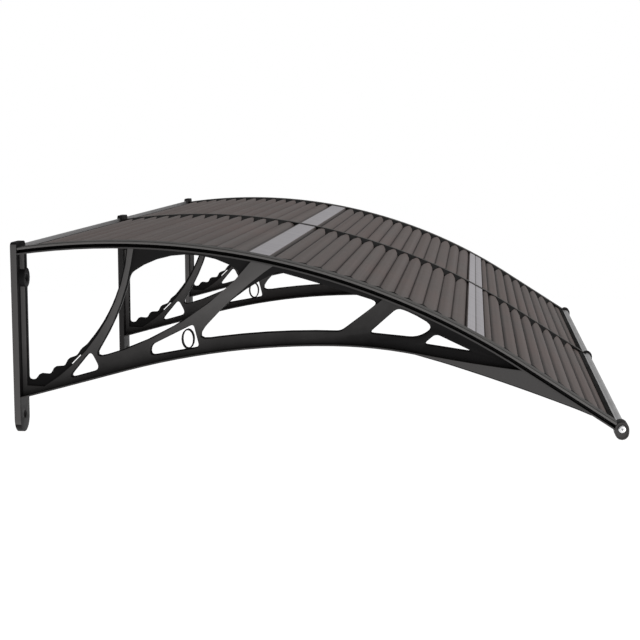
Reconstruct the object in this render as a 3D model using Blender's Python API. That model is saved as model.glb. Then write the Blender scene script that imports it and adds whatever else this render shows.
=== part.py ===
"""Door canopy: ribbed sheets on three moulded wall brackets, with cover strips and two aluminium bars.

X runs along the wall, the wall face is Y = 0, the canopy reaches out towards -Y, and Z is up.
The origin is the middle of the middle bracket's wall plate, on its wall face.
A place on a bracket is given as (reach, height): reach is the distance from the wall.
"""
import math

import bmesh
import bpy
from mathutils import Matrix, Vector

# Brackets: how many, how far apart and how wide
BRACKET_SPACING = 0.725
BRACKET_NAMES = ("left", "middle", "right")
CAP_WIDTH = 0.050
RAIL_WIDTH = 0.049

# Wall plate
PLATE_WIDTH = 0.050
PLATE_HEIGHT = 0.3187
PLATE_THICKNESS = 0.0104
PLATE_TOP_ROUNDING = 0.007
BOSS_DIAMETER = 0.033
BOSS_LENGTH = 0.009
BOSS_BELOW_TOP = 0.0596
WALL_HOLE_DIAMETER = 0.0080
LOWER_HOLE_ABOVE_BOTTOM = 0.0296
COUNTERSINK_DIAMETER = 0.0150

# Rail line: the top of the open slot, an arc from the plate and then a straight run to the tip
RAIL_RADIUS = 1.2225
RAIL_START_ANGLE = math.radians(-8.06)
RAIL_CROWN_BELOW_PLATE_TOP = 0.0004
RAIL_ARC_LENGTH = 0.861
RAIL_STRAIGHT_LENGTH = 0.1865
SLOT_DEPTH = 0.0054
RAIL_FLANGE_THICKNESS = 0.0025
RAIL_END_TO_TIP = 0.008
SPINE_WIDTH = 0.010
SPINE_RISE = 0.0027

# Lower arm: a flange that rises straight from the plate, bends over a crown and falls to the rail with
# a slight sag, and the keel under its front end
ARCH_FOOT_ABOVE_PLATE_BOTTOM = 0.0590
ARCH_STRAIGHT_LENGTH = 0.188
ARCH_END_TO_TIP = 0.178
ARCH_CROWN_TO_END = 0.307
ARCH_CROWN_ABOVE_END = 0.0375657
ARCH_FALL_RADIUS = 0.75
ARCH_FALL_LENGTH = 0.137
ARCH_SAG = 0.0015
ARCH_FLANGE_THICKNESS = 0.0025
KEEL_LENGTH = 0.305
KEEL_END_TO_TIP = 0.0420
KEEL_RISE = 0.0037
KEEL_INSET = 0.0006
KEEL_ROUNDING = 0.006

# Web between the rail and the arch: a thin sheet, with thicker arms over it
WEB_THICKNESS = 0.0055
ARM_THICKNESS = 0.0150
PLATE_RIB_DEPTH = 0.0088
ARM_EDGE_STEP = 0.0014
LIP_AT_FOOT = 0.025
LIP_AT_TOP = 0.0018
LIP_TAPER_POWER = 3.5
LIP_SLOT_WIDTH = 0.0018
SCALLOP_HEIGHT = 0.0032
SCALLOP_COUNT = 5
RING_WIDTH = 0.0214
RING_WALL = 0.0022
OVER_RAIL = 0.008

# Tip cap round the screw axis: as thick as the spine, and out to the side face on the outer brackets
CAP_RADIUS = 0.0112
CAP_DROP = 0.0063
CAP_RIM = 0.0022
CAP_RECESS = 0.0012

# Cover strip: a thin lip over the spine and the sheet's edge, and a deep outer side on the outer brackets
COVER_SIDE = 0.0034
COVER_CROWN = 0.0008
COVER_LIP_THICKNESS = 0.0012
COVER_LIP_REACH = 0.007
COVER_EDGE_SLOPE = 0.0025
COVER_SCREW_COUNT = 4
COVER_SCREW_END_DISTANCE = 0.050

# Ribbed sheet: fields of ribs with two flat lands between them
SHEET_THICKNESS = 0.0014
SHEET_SLOT_PLAY = 0.0003
SHEET_FRONT_LEVEL = -0.0005
RIB_PITCH = 0.026
RIB_BULGE_POWER = 0.6
SHEET_START = 0.0036
FIRST_RIB_START = 0.005
FIRST_FIELD_RIBS = 14
FIRST_LAND = (0.010, 0.034, 0.004)
SECOND_FIELD_RIBS = 13
SECOND_LAND = (0.002, 0.031, 0.002)
NARROW_RIB = 0.015
END_RISE = 0.006
LAND_GROOVE_DEPTH = 0.0008
LAND_GROOVE_WIDTH = 0.003

# Front bar, measured from the screw axis along the rail line and square to it
BAR_NOSE_RADIUS = 0.0072
BAR_LENGTH_BACK = 0.0105
BAR_BACK_TOP = 0.0032
BAR_BACK_BOTTOM = 0.0042
BAR_SLOT_BOTTOM = 0.0024
BAR_CHANNEL_DIAMETER = 0.0056
SHEET_EDGE_TO_TIP = 0.0062
FRONT_GASKET_WIDTH = 0.0100
FRONT_FLAT_LENGTH = 0.0070
FRONT_GASKET_HEIGHT = 0.0026
FRONT_GASKET_SLOPE = 0.0029

# Rear bar: an upright leg with a ledge under the sheets
REAR_BAR_BACK = 0.003
REAR_LEG_THICKNESS = 0.003
REAR_BAR_BELOW_PLATE_TOP = 0.0060
REAR_LEDGE_WIDTH = 0.017
REAR_LEDGE_THICKNESS = 0.002
REAR_BAR_PLUG = 0.010
REAR_GASKET_WIDTH = 0.0058

# Fasteners
TIP_SCREW_DIAMETER = 0.0048
TIP_SCREW_HEAD_DIAMETER = 0.0125
TIP_SCREW_HEAD_HEIGHT = 0.0032
TIP_SCREW_IN_BAR = 0.016
COVER_SCREW_DIAMETER = 0.0036
COVER_SCREW_HEAD_DIAMETER = 0.0074
COVER_SCREW_HEAD_HEIGHT = 0.0024
COVER_SCREW_LENGTH = 0.0105
CROSS_WIDTH = 0.0011
CROSS_DEPTH = 0.0014

# Clearances
CONTACT_GAP = 0.0003
HOLE_PLAY = 0.0006
OVERLAP = 0.001
MERGE_DISTANCE = 0.000002

# Facets
RAIL_STEPS = 32
ARCH_RISE_STEPS = 12
ARCH_FALL_STEPS = 6
ARCH_SAG_STEPS = 6
WEB_STEPS = 12
KEEL_STEPS = 32
LIP_STEPS = 66
ROUND_SIDES = 16
SMALL_SIDES = 8


# Places on the rail line and the arch

PLATE_TOP = PLATE_HEIGHT / 2
PLATE_BOTTOM = -PLATE_HEIGHT / 2
RAIL_CENTRE = Vector((
    PLATE_THICKNESS - RAIL_RADIUS * math.sin(RAIL_START_ANGLE),
    PLATE_TOP - RAIL_CROWN_BELOW_PLATE_TOP - RAIL_RADIUS))
RAIL_LENGTH = RAIL_ARC_LENGTH + RAIL_STRAIGHT_LENGTH
FLANGE_TOP_LEVEL = -SLOT_DEPTH
FLANGE_BOTTOM_LEVEL = -SLOT_DEPTH - RAIL_FLANGE_THICKNESS
COVER_TOP_LEVEL = COVER_SIDE + COVER_CROWN
CREST_LEVEL = SPINE_RISE - SHEET_SLOT_PLAY
VALLEY_LEVEL = SHEET_THICKNESS + SHEET_SLOT_PLAY - SLOT_DEPTH


def rail_point(distance, level):
    """Place at a distance along the rail line from the plate, and at a level square to it."""
    angle = RAIL_START_ANGLE + min(distance, RAIL_ARC_LENGTH) / RAIL_RADIUS
    on_arc = RAIL_CENTRE + (RAIL_RADIUS + level) * Vector((math.sin(angle), math.cos(angle)))
    beyond = max(distance - RAIL_ARC_LENGTH, 0.0)
    return on_arc + beyond * Vector((math.cos(angle), -math.sin(angle)))


def rail_distances(first, last):
    """Evenly spread distances along the rail line, both ends included."""
    return [first + (last - first) * step / RAIL_STEPS for step in range(RAIL_STEPS + 1)]


def height_on_line(line, reach):
    """Height of a line of points at a reach."""
    for before, after in zip(line, line[1:]):
        if before.x <= reach <= after.x:
            share = (reach - before.x) / (after.x - before.x)
            return before.y + share * (after.y - before.y)
    nearest = line[0] if reach < line[0].x else line[-1]
    return nearest.y


TIP = rail_point(RAIL_LENGTH, 0.0)
ARCH_FOOT = Vector((PLATE_THICKNESS - OVERLAP, PLATE_BOTTOM + ARCH_FOOT_ABOVE_PLATE_BOTTOM))
ARCH_END = rail_point(RAIL_LENGTH - ARCH_END_TO_TIP, FLANGE_BOTTOM_LEVEL)


def circle_through(first, middle, last):
    """Centre of the circle through three places."""
    a = middle - first
    b = last - first
    doubled = 2.0 * (a.x * b.y - a.y * b.x)
    across = b.y * a.length_squared - a.y * b.length_squared
    along = a.x * b.length_squared - b.x * a.length_squared
    return first + Vector((across, along)) / doubled


def arc_side(first, middle, last, steps):
    """Places along the arc from first to last by way of middle, both ends included."""
    centre = circle_through(first, middle, last)
    start = first - centre
    whole = -start.angle_signed(last - centre)
    half = -start.angle_signed(middle - centre)
    if whole * half < 0.0:
        whole += math.copysign(2.0 * math.pi, half)
    turns = [Matrix.Rotation(whole * step / steps, 2) for step in range(steps + 1)]
    return [centre + turn @ start for turn in turns]


def turned_up(radius, angle):
    """Place on a circle round the origin, by its angle from straight up towards the tip."""
    return radius * Vector((math.sin(angle), math.cos(angle)))


def arch_underside():
    """Underside of the lower arm's flange: straight from the plate, over the crown, and down to the rail.

    The slope of the straight part is the one that runs into the arc without a corner.
    """
    crown = ARCH_END + Vector((-ARCH_CROWN_TO_END, ARCH_CROWN_ABOVE_END))
    to_crown = crown - ARCH_FOOT
    slope = 2.0 * math.atan2(to_crown.y, to_crown.x + ARCH_STRAIGHT_LENGTH)
    bend = ARCH_FOOT + ARCH_STRAIGHT_LENGTH * Vector((math.cos(slope), math.sin(slope)))
    rise_radius = (crown.x - bend.x) / math.sin(slope)
    rise_centre = crown - turned_up(rise_radius, 0.0)
    fall_centre = crown - turned_up(ARCH_FALL_RADIUS, 0.0)
    fall_angle = math.asin(ARCH_FALL_LENGTH / ARCH_FALL_RADIUS)
    fall_end = fall_centre + turned_up(ARCH_FALL_RADIUS, fall_angle)
    lowest = (fall_end + ARCH_END) / 2 - Vector((0.0, ARCH_SAG))
    middle_of_rise = rise_centre + turned_up(rise_radius, -slope / 2)
    middle_of_fall = fall_centre + turned_up(ARCH_FALL_RADIUS, fall_angle / 2)
    rise = arc_side(bend, middle_of_rise, crown, ARCH_RISE_STEPS)
    fall = arc_side(crown, middle_of_fall, fall_end, ARCH_FALL_STEPS)
    last = arc_side(fall_end, lowest, ARCH_END, ARCH_SAG_STEPS)
    return [ARCH_FOOT] + rise[:-1] + fall[:-1] + last


ARCH_LINE = arch_underside()
ARCH_TOP_LINE = [point + Vector((0.0, ARCH_FLANGE_THICKNESS)) for point in ARCH_LINE]
RAIL_UNDER_LINE = [rail_point(d, FLANGE_BOTTOM_LEVEL) for d in rail_distances(0.0, RAIL_LENGTH)]


def web_end_reach():
    """Reach where the top of the arch's flange meets the underside of the rail."""
    near, far = PLATE_THICKNESS, ARCH_END.x
    for _ in range(30):
        middle = (near + far) / 2
        if height_on_line(ARCH_TOP_LINE, middle) < height_on_line(RAIL_UNDER_LINE, middle):
            near = middle
        else:
            far = middle
    return near


WEB_END = web_end_reach()


def at(reach_share, height_share):
    """Place in the web: a share of the reach, and a share of the height from the arch to the rail."""
    reach = PLATE_THICKNESS + reach_share * (TIP.x - PLATE_THICKNESS)
    low = height_on_line(ARCH_TOP_LINE, reach)
    high = height_on_line(RAIL_UNDER_LINE, reach)
    return Vector((reach, low + height_share * (high - low)))


def over_rail(reach_share):
    """Place well above the web's top edge, for openings that run up to the rail."""
    return at(reach_share, 1.0) + Vector((0.0, OVER_RAIL))


# Outlines


def cut_back(line, length):
    """Shorten a line of places by a length at its start."""
    line = list(line)
    while len(line) > 2 and (line[1] - line[0]).length <= length:
        length -= (line[1] - line[0]).length
        line.pop(0)
    step = line[1] - line[0]
    line[0] = line[0] + step * min(length / step.length, 0.9)
    return line


def eased_outline(sides, easings):
    """Closed outline from sides that meet at corners, each corner rounded over its own easing."""
    count = len(sides)
    trimmed = []
    for index, side in enumerate(sides):
        side = cut_back(side, easings[index])
        side = cut_back(side[::-1], easings[(index + 1) % count])[::-1]
        trimmed.append(side)
    outline = []
    for index, side in enumerate(trimmed):
        corner = sides[index][0]
        before = trimmed[index - 1][-1]
        after = side[0]
        if easings[index] > 0.0:
            for share in (0.25, 0.5, 0.75):
                towards = before.lerp(corner, share)
                away = corner.lerp(after, share)
                outline.append(towards.lerp(away, share))
        outline.extend(side)
    return without_doubles(outline)


def without_doubles(outline, nearest=0.0002):
    """The outline without places that nearly repeat the one before."""
    kept = []
    for point in outline:
        if not kept or (point - kept[-1]).length > nearest:
            kept.append(point)
    if (kept[0] - kept[-1]).length <= nearest:
        kept.pop()
    return kept


def grown(outline, distance):
    """The outline moved outwards by a distance."""
    count = len(outline)
    area = sum(outline[i - 1].cross(outline[i]) for i in range(count))
    side = 1.0 if area > 0.0 else -1.0
    moved = []
    for index, point in enumerate(outline):
        along = (outline[(index + 1) % count] - outline[index - 1]).normalized()
        moved.append(point + side * distance * Vector((along.y, -along.x)))
    return moved


def round_outline(centre, radius_x, radius_y, sides):
    """Circle or oval outline."""
    angles = [2.0 * math.pi * step / sides for step in range(sides)]
    return [centre + Vector((radius_x * math.cos(a), radius_y * math.sin(a))) for a in angles]


def cap_outline(radius):
    """Upright rounded outline round the screw axis at the tip and down from it."""
    half = ROUND_SIDES // 2
    upper = [math.pi * step / half for step in range(half + 1)]
    over = [TIP + radius * Vector((math.cos(a), math.sin(a))) for a in upper]
    under = [TIP + Vector((0.0, -CAP_DROP)) - radius * Vector((math.cos(a), math.sin(a))) for a in upper]
    return over + under


# Solids


def object_from(name, build):
    """New object whose mesh the build function fills, with its faces turned outwards."""
    shape = bmesh.new()
    build(shape)
    bmesh.ops.recalc_face_normals(shape, faces=shape.faces)
    mesh = bpy.data.meshes.new(name)
    shape.to_mesh(mesh)
    shape.free()
    made = bpy.data.objects.new(name, mesh)
    bpy.context.scene.collection.objects.link(made)
    return made


def loft(name, rings):
    """Solid through closed rings of 3-D places with equal counts, capped at both ends."""

    def build(shape):
        rows = [[shape.verts.new(point) for point in ring] for ring in rings]
        count = len(rows[0])
        for low, high in zip(rows, rows[1:]):
            for i in range(count):
                j = (i + 1) % count
                shape.faces.new((low[i], low[j], high[j], high[i]))
        shape.faces.new(rows[0])
        shape.faces.new(rows[-1])

    return object_from(name, build)


def across_slab(name, outline, x_low, x_high):
    """A (reach, height) outline extruded along the wall."""
    return loft(name, [[Vector((x, -p.x, p.y)) for p in outline] for x in (x_low, x_high)])


def outward_slab(name, outline, reach_low, reach_high):
    """An (x, height) outline extruded away from the wall."""
    return loft(name, [[Vector((p.x, -reach, p.y)) for p in outline] for reach in (reach_low, reach_high)])


def outward_cone(name, x, height, reach_low, reach_high, radius_low, radius_high, sides):
    """Round solid whose axis points away from the wall."""
    centre = Vector((x, height))
    rings = []
    for reach, radius in ((reach_low, radius_low), (reach_high, radius_high)):
        rings.append([Vector((p.x, -reach, p.y)) for p in round_outline(centre, radius, radius, sides)])
    return loft(name, rings)


def turned(name, profile, sides):
    """Solid turned about Z from (radius, height) places, with flat ends."""
    rings = []
    for radius, height in profile:
        circle = round_outline(Vector((0.0, 0.0)), radius, radius, sides)
        rings.append([Vector((p.x, p.y, height)) for p in circle])
    return loft(name, rings)


def combine(base, other, operation):
    """Apply a Boolean of another object to the base, and remove the other."""
    modifier = base.modifiers.new(operation.lower(), "BOOLEAN")
    modifier.operation = operation
    modifier.solver = "EXACT"
    modifier.object = other
    bpy.context.view_layer.update()
    evaluated = base.evaluated_get(bpy.context.evaluated_depsgraph_get())
    result = bpy.data.meshes.new_from_object(evaluated)
    base.modifiers.clear()
    old = base.data
    base.data = result
    bpy.data.meshes.remove(old)
    bpy.data.objects.remove(other)
    return base


def fuse(base, *others):
    """Join other solids to the base."""
    for other in others:
        combine(base, other, "UNION")
    return base


def carve(base, *cutters):
    """Cut solids out of the base."""
    for cutter in cutters:
        combine(base, cutter, "DIFFERENCE")
    return base


def in_triangles(made):
    """Merge hair-thin faces and split the rest into triangles, which later cuts handle best."""
    shape = bmesh.new()
    shape.from_mesh(made.data)
    bmesh.ops.remove_doubles(shape, verts=shape.verts, dist=MERGE_DISTANCE)
    bmesh.ops.dissolve_degenerate(shape, dist=MERGE_DISTANCE, edges=shape.edges)
    bmesh.ops.triangulate(shape, faces=shape.faces)
    shape.to_mesh(made.data)
    shape.free()
    return made


def smooth(made, angle=35.0):
    """Shade the round stretches smooth and keep the corners sharp."""
    made.data.shade_smooth()
    made.data.set_sharp_from_angle(angle=math.radians(angle))
    return made


# Materials


def finish(made, slot, colour, roughness, metallic=0.0):
    """Give an object its own material."""
    material = bpy.data.materials.new(slot + "_" + made.name)
    material.use_nodes = True
    shader = material.node_tree.nodes["Principled BSDF"]
    shader.inputs["Base Color"].default_value = (*colour, 1.0)
    shader.inputs["Roughness"].default_value = roughness
    shader.inputs["Metallic"].default_value = metallic
    made.data.materials.clear()
    made.data.materials.append(material)
    return made


def black_plastic(made):
    return finish(made, "black_plastic", (0.035, 0.034, 0.036), 0.42)


def brown_polycarbonate(made):
    return finish(made, "brown_polycarbonate", (0.14, 0.115, 0.105), 0.22)


def aluminium(made):
    return finish(made, "aluminium", (0.55, 0.55, 0.56), 0.32, 1.0)


def black_rubber(made):
    return finish(made, "black_rubber", (0.012, 0.012, 0.012), 0.75)


def steel(made):
    return finish(made, "steel", (0.72, 0.72, 0.73), 0.25, 1.0)


def blackened_steel(made):
    return finish(made, "blackened_steel", (0.05, 0.05, 0.052), 0.38, 1.0)


# Openings of the web, each by its corners

ARM_BACK_EDGE = (at(0.0080, 0.000), at(0.1010, 0.191), at(0.1839, 1.014))
SCALLOPED_SHARE = 0.46


def rib_reach():
    """Reach of the upright rib on the front of the plate."""
    return PLATE_THICKNESS + PLATE_RIB_DEPTH


def behind_arm_window():
    """Opening between the plate and the curved arm, whose thin lip is scalloped near the foot."""
    edge = arc_side(*ARM_BACK_EDGE, LIP_STEPS)
    lip = []
    for index in range(LIP_STEPS + 1):
        share = index / LIP_STEPS
        before = edge[max(index - 1, 0)]
        after = edge[min(index + 1, LIP_STEPS)]
        along = (after - before).normalized()
        inward = Vector((-along.y, along.x))
        depth = LIP_AT_TOP + (LIP_AT_FOOT - LIP_AT_TOP) * (1.0 - share) ** LIP_TAPER_POWER
        fading = max(1.0 - share / SCALLOPED_SHARE, 0.0)
        wave = math.sin(2.0 * math.pi * SCALLOP_COUNT * share / SCALLOPED_SHARE)
        depth += SCALLOP_HEIGHT * min(fading * 2.0, 1.0) * wave
        point = edge[index] + inward * depth
        in_smooth_stretch = share > SCALLOPED_SHARE and index % 3
        if point.x > rib_reach() + LIP_AT_TOP and not in_smooth_stretch:
            lip.append(point)
    top_right = over_rail(0.1859)
    top_left = over_rail(0.0000)
    top_left.x = rib_reach()
    bottom_left = Vector((rib_reach(), lip[0].y))
    sides = [[top_left, bottom_left], [bottom_left] + lip + [top_right], [top_right, top_left]]
    return eased_outline(sides, (0.0, 0.006, 0.0))


def behind_arm_recess():
    """The same opening between the thick arms, down to the arch's flange."""
    edge = arc_side(*ARM_BACK_EDGE, 10)
    top_right = over_rail(0.1859)
    top_left = over_rail(0.0000)
    top_left.x = rib_reach()
    bottom_left = Vector((rib_reach(), at(0.0120, 0.060).y))
    lower = [point for point in edge if point.x > rib_reach() + 2 * LIP_AT_TOP]
    return without_doubles([top_left, bottom_left] + lower + [top_right])


def foot_window():
    """Small triangle between the curved arm's foot and the arch."""
    a, b, c = at(0.0790, 0.040), at(0.1335, 0.045), at(0.1175, 0.205)
    return eased_outline([[a, b], [b, c], [c, a]], (0.014, 0.012, 0.009))


def lip_slot():
    """Slit between the scalloped lip and the curved arm."""
    a, b = at(0.0835, 0.138), at(0.1000, 0.194)
    along = (b - a).normalized()
    across = Vector((-along.y, along.x)) * LIP_SLOT_WIDTH / 2
    corners = [a - across, b - across, b + across, a + across]
    sides = [[corners[i], corners[(i + 1) % 4]] for i in range(4)]
    return eased_outline(sides, (0.0012,) * 4)


def main_window():
    """Large opening between the curved arm and the diagonal arm."""
    a, b, c = at(0.1889, 0.788), at(0.3769, 0.840), at(0.1220, 0.143)
    sides = [
        arc_side(a, at(0.2849, 0.966), b, 8),
        arc_side(b, at(0.2819, 0.356), c, 6),
        arc_side(c, at(0.1699, 0.512), a, 6),
    ]
    return eased_outline(sides, (0.007, 0.015, 0.024))


def main_recess():
    """The same opening between the thick arms, up to the rail."""
    a, b, c = over_rail(0.1964), over_rail(0.3999), at(0.1220, 0.143)
    sides = [[a, b], arc_side(b, at(0.2819, 0.356), c, 6), arc_side(c, at(0.1699, 0.512), a, 6)]
    return eased_outline(sides, (0.0, 0.0, 0.024))


def ring_window():
    """Narrow triangle under the diagonal arm, which the ring stands in."""
    a, b, c, d = at(0.2215, 0.062), at(0.3030, 0.060), at(0.2935, 0.290), at(0.2215, 0.150)
    return eased_outline([[a, b], [b, c], [c, d], [d, a]], (0.008, 0.006, 0.006, 0.009))


def front_sides(upper_left, upper_right, upper_side):
    """Sides of the long opening in front of the diagonal arm, below the given upper edge."""
    a, b = at(0.2965, 0.135), at(0.5405, 0.204)
    return [
        arc_side(a, at(0.3619, 0.545), upper_left, 6),
        upper_side,
        [upper_right, b],
        arc_side(b, at(0.4199, 0.160), a, 6),
    ]


def front_window():
    """Long opening in front of the diagonal arm."""
    upper_left, upper_right = at(0.4364, 0.925), at(0.6040, 0.885)
    upper_side = arc_side(upper_left, at(0.5058, 0.893), upper_right, 4)
    return eased_outline(front_sides(upper_left, upper_right, upper_side), (0.026, 0.004, 0.014, 0.007))


def front_recess():
    """The same opening between the thick arms, up to the rail."""
    upper_left, upper_right = over_rail(0.4409), over_rail(0.6188)
    upper_side = [upper_left, upper_right]
    return eased_outline(front_sides(upper_left, upper_right, upper_side), (0.026, 0.0, 0.0, 0.007))


def strut_window():
    """Four-sided opening between the two struts."""
    a, b, c, d = at(0.5880, 0.235), at(0.6340, 0.905), at(0.6948, 0.784), at(0.6668, 0.358)
    upper_side = arc_side(b, at(0.6660, 0.895), c, 4)
    return eased_outline([[a, b], upper_side, [c, d], [d, a]], (0.007, 0.009, 0.016, 0.014))


def nose_window():
    """Last small opening, where the arch nears the rail."""
    a, b, c = at(0.6782, 0.245), at(0.6970, 0.618), at(0.7567, 0.458)
    return eased_outline([[a, b], [b, c], [c, a]], (0.006, 0.008, 0.008))


# Bracket pieces


def rail_and_arch_flanges(x):
    """Rail flange and arch flange in one: they part at the plate and meet near the tip."""
    distances = rail_distances(-OVERLAP, RAIL_LENGTH - RAIL_END_TO_TIP)
    rail_top = [rail_point(distance, FLANGE_TOP_LEVEL) for distance in distances]
    rail_under = [rail_point(distance, FLANGE_BOTTOM_LEVEL) for distance in distances]
    beyond_arch = [p for p in reversed(rail_under) if p.x > ARCH_END.x + OVERLAP]
    before_web_end = [p for p in reversed(rail_under) if p.x < WEB_END - OVERLAP]
    web_end = Vector((WEB_END, height_on_line(RAIL_UNDER_LINE, WEB_END)))
    arch_back = list(reversed(ARCH_LINE))
    arch_top = [p for p in ARCH_TOP_LINE if p.x < WEB_END - OVERLAP]
    outline = rail_top + beyond_arch + arch_back + arch_top + [web_end] + before_web_end
    return across_slab("flanges", without_doubles(outline), x - RAIL_WIDTH / 2, x + RAIL_WIDTH / 2)


def spine(x):
    """Upright ridge on the rail flange, which parts the two slots."""
    rings = []
    low = FLANGE_TOP_LEVEL - RAIL_FLANGE_THICKNESS / 2
    half = SPINE_WIDTH / 2
    for distance in rail_distances(-OVERLAP, RAIL_LENGTH - CAP_RADIUS + OVERLAP):
        ring = []
        for side, level in ((-half, low), (half, low), (half, SPINE_RISE), (-half, SPINE_RISE)):
            place = rail_point(distance, level)
            ring.append(Vector((x + side, -place.x, place.y)))
        rings.append(ring)
    return loft("spine", rings)


def web_slab(x, thickness, windows):
    """Slab that fills the space between rail and arch, less its openings."""
    reaches = [PLATE_THICKNESS - OVERLAP]
    span = WEB_END - PLATE_THICKNESS
    reaches += [PLATE_THICKNESS + span * step / WEB_STEPS for step in range(1, WEB_STEPS + 1)]
    low = [Vector((r, height_on_line(ARCH_TOP_LINE, r) - OVERLAP)) for r in reaches]
    high = [Vector((r, height_on_line(RAIL_UNDER_LINE, r) + OVERLAP)) for r in reversed(reaches)]
    slab = across_slab("web", low + high, x - thickness / 2, x + thickness / 2)
    for outline in windows:
        carve(slab, across_slab("window", outline, x - thickness, x + thickness))
    return slab


def thin_web(x):
    """Thin web with its openings and the scalloped lip."""
    windows = [
        behind_arm_window(), foot_window(), lip_slot(), main_window(), ring_window(),
        front_window(), strut_window(), nose_window(),
    ]
    return web_slab(x, WEB_THICKNESS, windows)


def thick_arms(x):
    """Arms that stand out from the thin web on both sides."""
    plain = [behind_arm_recess(), main_recess(), front_recess()]
    stepped = [foot_window(), ring_window(), strut_window(), nose_window()]
    windows = [grown(outline, ARM_EDGE_STEP) for outline in plain + stepped]
    return web_slab(x, ARM_THICKNESS, windows)


def ring(x):
    """Oval ring that stands on the arch and carries the diagonal arm."""
    low, high = at(0.2840, 0.052), at(0.2840, 0.250)
    middle = (low + high) / 2
    half_height = (high.y - low.y) / 2
    half_width = RING_WIDTH / 2
    outer = round_outline(middle, half_width, half_height, ROUND_SIDES)
    inner = round_outline(middle, half_width - RING_WALL, half_height - RING_WALL, ROUND_SIDES)
    half = WEB_THICKNESS / 2 + ARM_EDGE_STEP
    made = across_slab("ring", outer, x - half, x + half)
    return carve(made, across_slab("ring_hole", inner, x - 2 * half, x + 2 * half))


def keel(x):
    """Deep nose under the front of the arch, with rounded lower edges."""
    end = rail_point(RAIL_LENGTH - KEEL_END_TO_TIP, FLANGE_TOP_LEVEL - RAIL_FLANGE_THICKNESS / 2)
    start_reach = end.x - KEEL_LENGTH
    start = Vector((start_reach, height_on_line(ARCH_LINE, start_reach) + ARCH_FLANGE_THICKNESS / 2))
    chord = end - start
    crown = (start + end) / 2 + Vector((-chord.y, chord.x)).normalized() * KEEL_RISE
    half = RAIL_WIDTH / 2 - KEEL_INSET
    rings = []
    for place in arc_side(start, crown, end, KEEL_STEPS)[1:-1]:
        reach, bottom = place
        rail = height_on_line(RAIL_UNDER_LINE, reach) + RAIL_FLANGE_THICKNESS / 2
        arch = height_on_line(ARCH_LINE, reach) + ARCH_FLANGE_THICKNESS / 2
        top = arch if reach < ARCH_END.x and arch < rail else rail
        rounding = min(KEEL_ROUNDING, 0.8 * (top - bottom))
        ring_points = [Vector((x - half, -reach, top)), Vector((x + half, -reach, top))]
        for side in (1, -1):
            angles = (0.0, 30.0, 60.0, 90.0) if side > 0 else (90.0, 60.0, 30.0, 0.0)
            for angle in angles:
                turn = math.radians(angle)
                out = side * (half - rounding + rounding * math.cos(turn))
                ring_points.append(Vector((x + out, -reach, bottom + rounding - rounding * math.sin(turn))))
        rings.append(ring_points)
    return loft("keel", rings)


def wall_plate(x):
    """Flat plate against the wall: small top corners and a half-round lower end."""
    half = PLATE_WIDTH / 2
    outline = []
    for side, start in ((1, 0.0), (-1, 90.0)):
        centre = Vector((x + side * (half - PLATE_TOP_ROUNDING), PLATE_TOP - PLATE_TOP_ROUNDING))
        for step in range(4):
            turn = math.radians(start + 30.0 * step)
            outline.append(centre + PLATE_TOP_ROUNDING * Vector((math.cos(turn), math.sin(turn))))
    centre = Vector((x, PLATE_BOTTOM + half))
    for step in range(ROUND_SIDES + 1):
        turn = math.pi + math.pi * step / ROUND_SIDES
        outline.append(centre + half * Vector((math.cos(turn), math.sin(turn))))
    return outward_slab("plate", outline, 0.0, PLATE_THICKNESS)


def boss(x):
    """Round pad for the upper wall screw."""
    height = PLATE_TOP - BOSS_BELOW_TOP
    front = PLATE_THICKNESS + BOSS_LENGTH
    radius = BOSS_DIAMETER / 2
    return outward_cone("boss", x, height, OVERLAP, front, radius, radius, ROUND_SIDES)


def wall_hole_cutters(x):
    """Cutters for the upper hole through the boss and the countersunk lower hole."""
    upper = PLATE_TOP - BOSS_BELOW_TOP
    lower = PLATE_BOTTOM + LOWER_HOLE_ABOVE_BOTTOM
    hole = WALL_HOLE_DIAMETER / 2
    sink = COUNTERSINK_DIAMETER / 2
    sink_depth = sink - hole
    far = PLATE_THICKNESS + BOSS_LENGTH + OVERLAP
    return [
        outward_cone("hole", x, upper, -OVERLAP, far, hole, hole, 12),
        outward_cone("sink", x, upper, far - OVERLAP - sink_depth, far, hole, sink + OVERLAP, 12),
        outward_cone("hole", x, lower, -OVERLAP, far, hole, hole, 12),
        outward_cone("sink", x, lower, PLATE_THICKNESS - sink_depth, PLATE_THICKNESS + OVERLAP,
                     hole, sink + OVERLAP, 12),
    ]


def screw_line_distances():
    """Distances along the rail line of the cover strip's screws."""
    first = COVER_SCREW_END_DISTANCE
    last = RAIL_LENGTH - COVER_SCREW_END_DISTANCE
    gaps = COVER_SCREW_COUNT - 1
    return [first + (last - first) * index / gaps for index in range(COVER_SCREW_COUNT)]


def along_level(made, x, distance, level):
    """Place a solid turned about Z so that its axis is square to the rail line."""
    place = rail_point(distance, level)
    ahead = rail_point(distance + OVERLAP, level)
    slope = math.atan2(place.y - ahead.y, ahead.x - place.x)
    made.matrix_world = Matrix.Translation((x, -place.x, place.y)) @ Matrix.Rotation(slope, 4, "X")
    return made


def cover_hole_cutter(x, distance):
    """Cutter for a cover screw's countersunk hole, through the cover strip and into the spine."""
    shank = (COVER_SCREW_DIAMETER + HOLE_PLAY) / 2
    head = (COVER_SCREW_HEAD_DIAMETER + HOLE_PLAY) / 2
    top = COVER_TOP_LEVEL
    end = top - COVER_SCREW_LENGTH - HOLE_PLAY
    neck = top - COVER_SCREW_HEAD_HEIGHT - CONTACT_GAP
    profile = [(shank, end), (shank, neck), (head, top - CONTACT_GAP), (head, top + OVERLAP)]
    return along_level(turned("countersink", profile, SMALL_SIDES), x, distance, 0.0)


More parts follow.
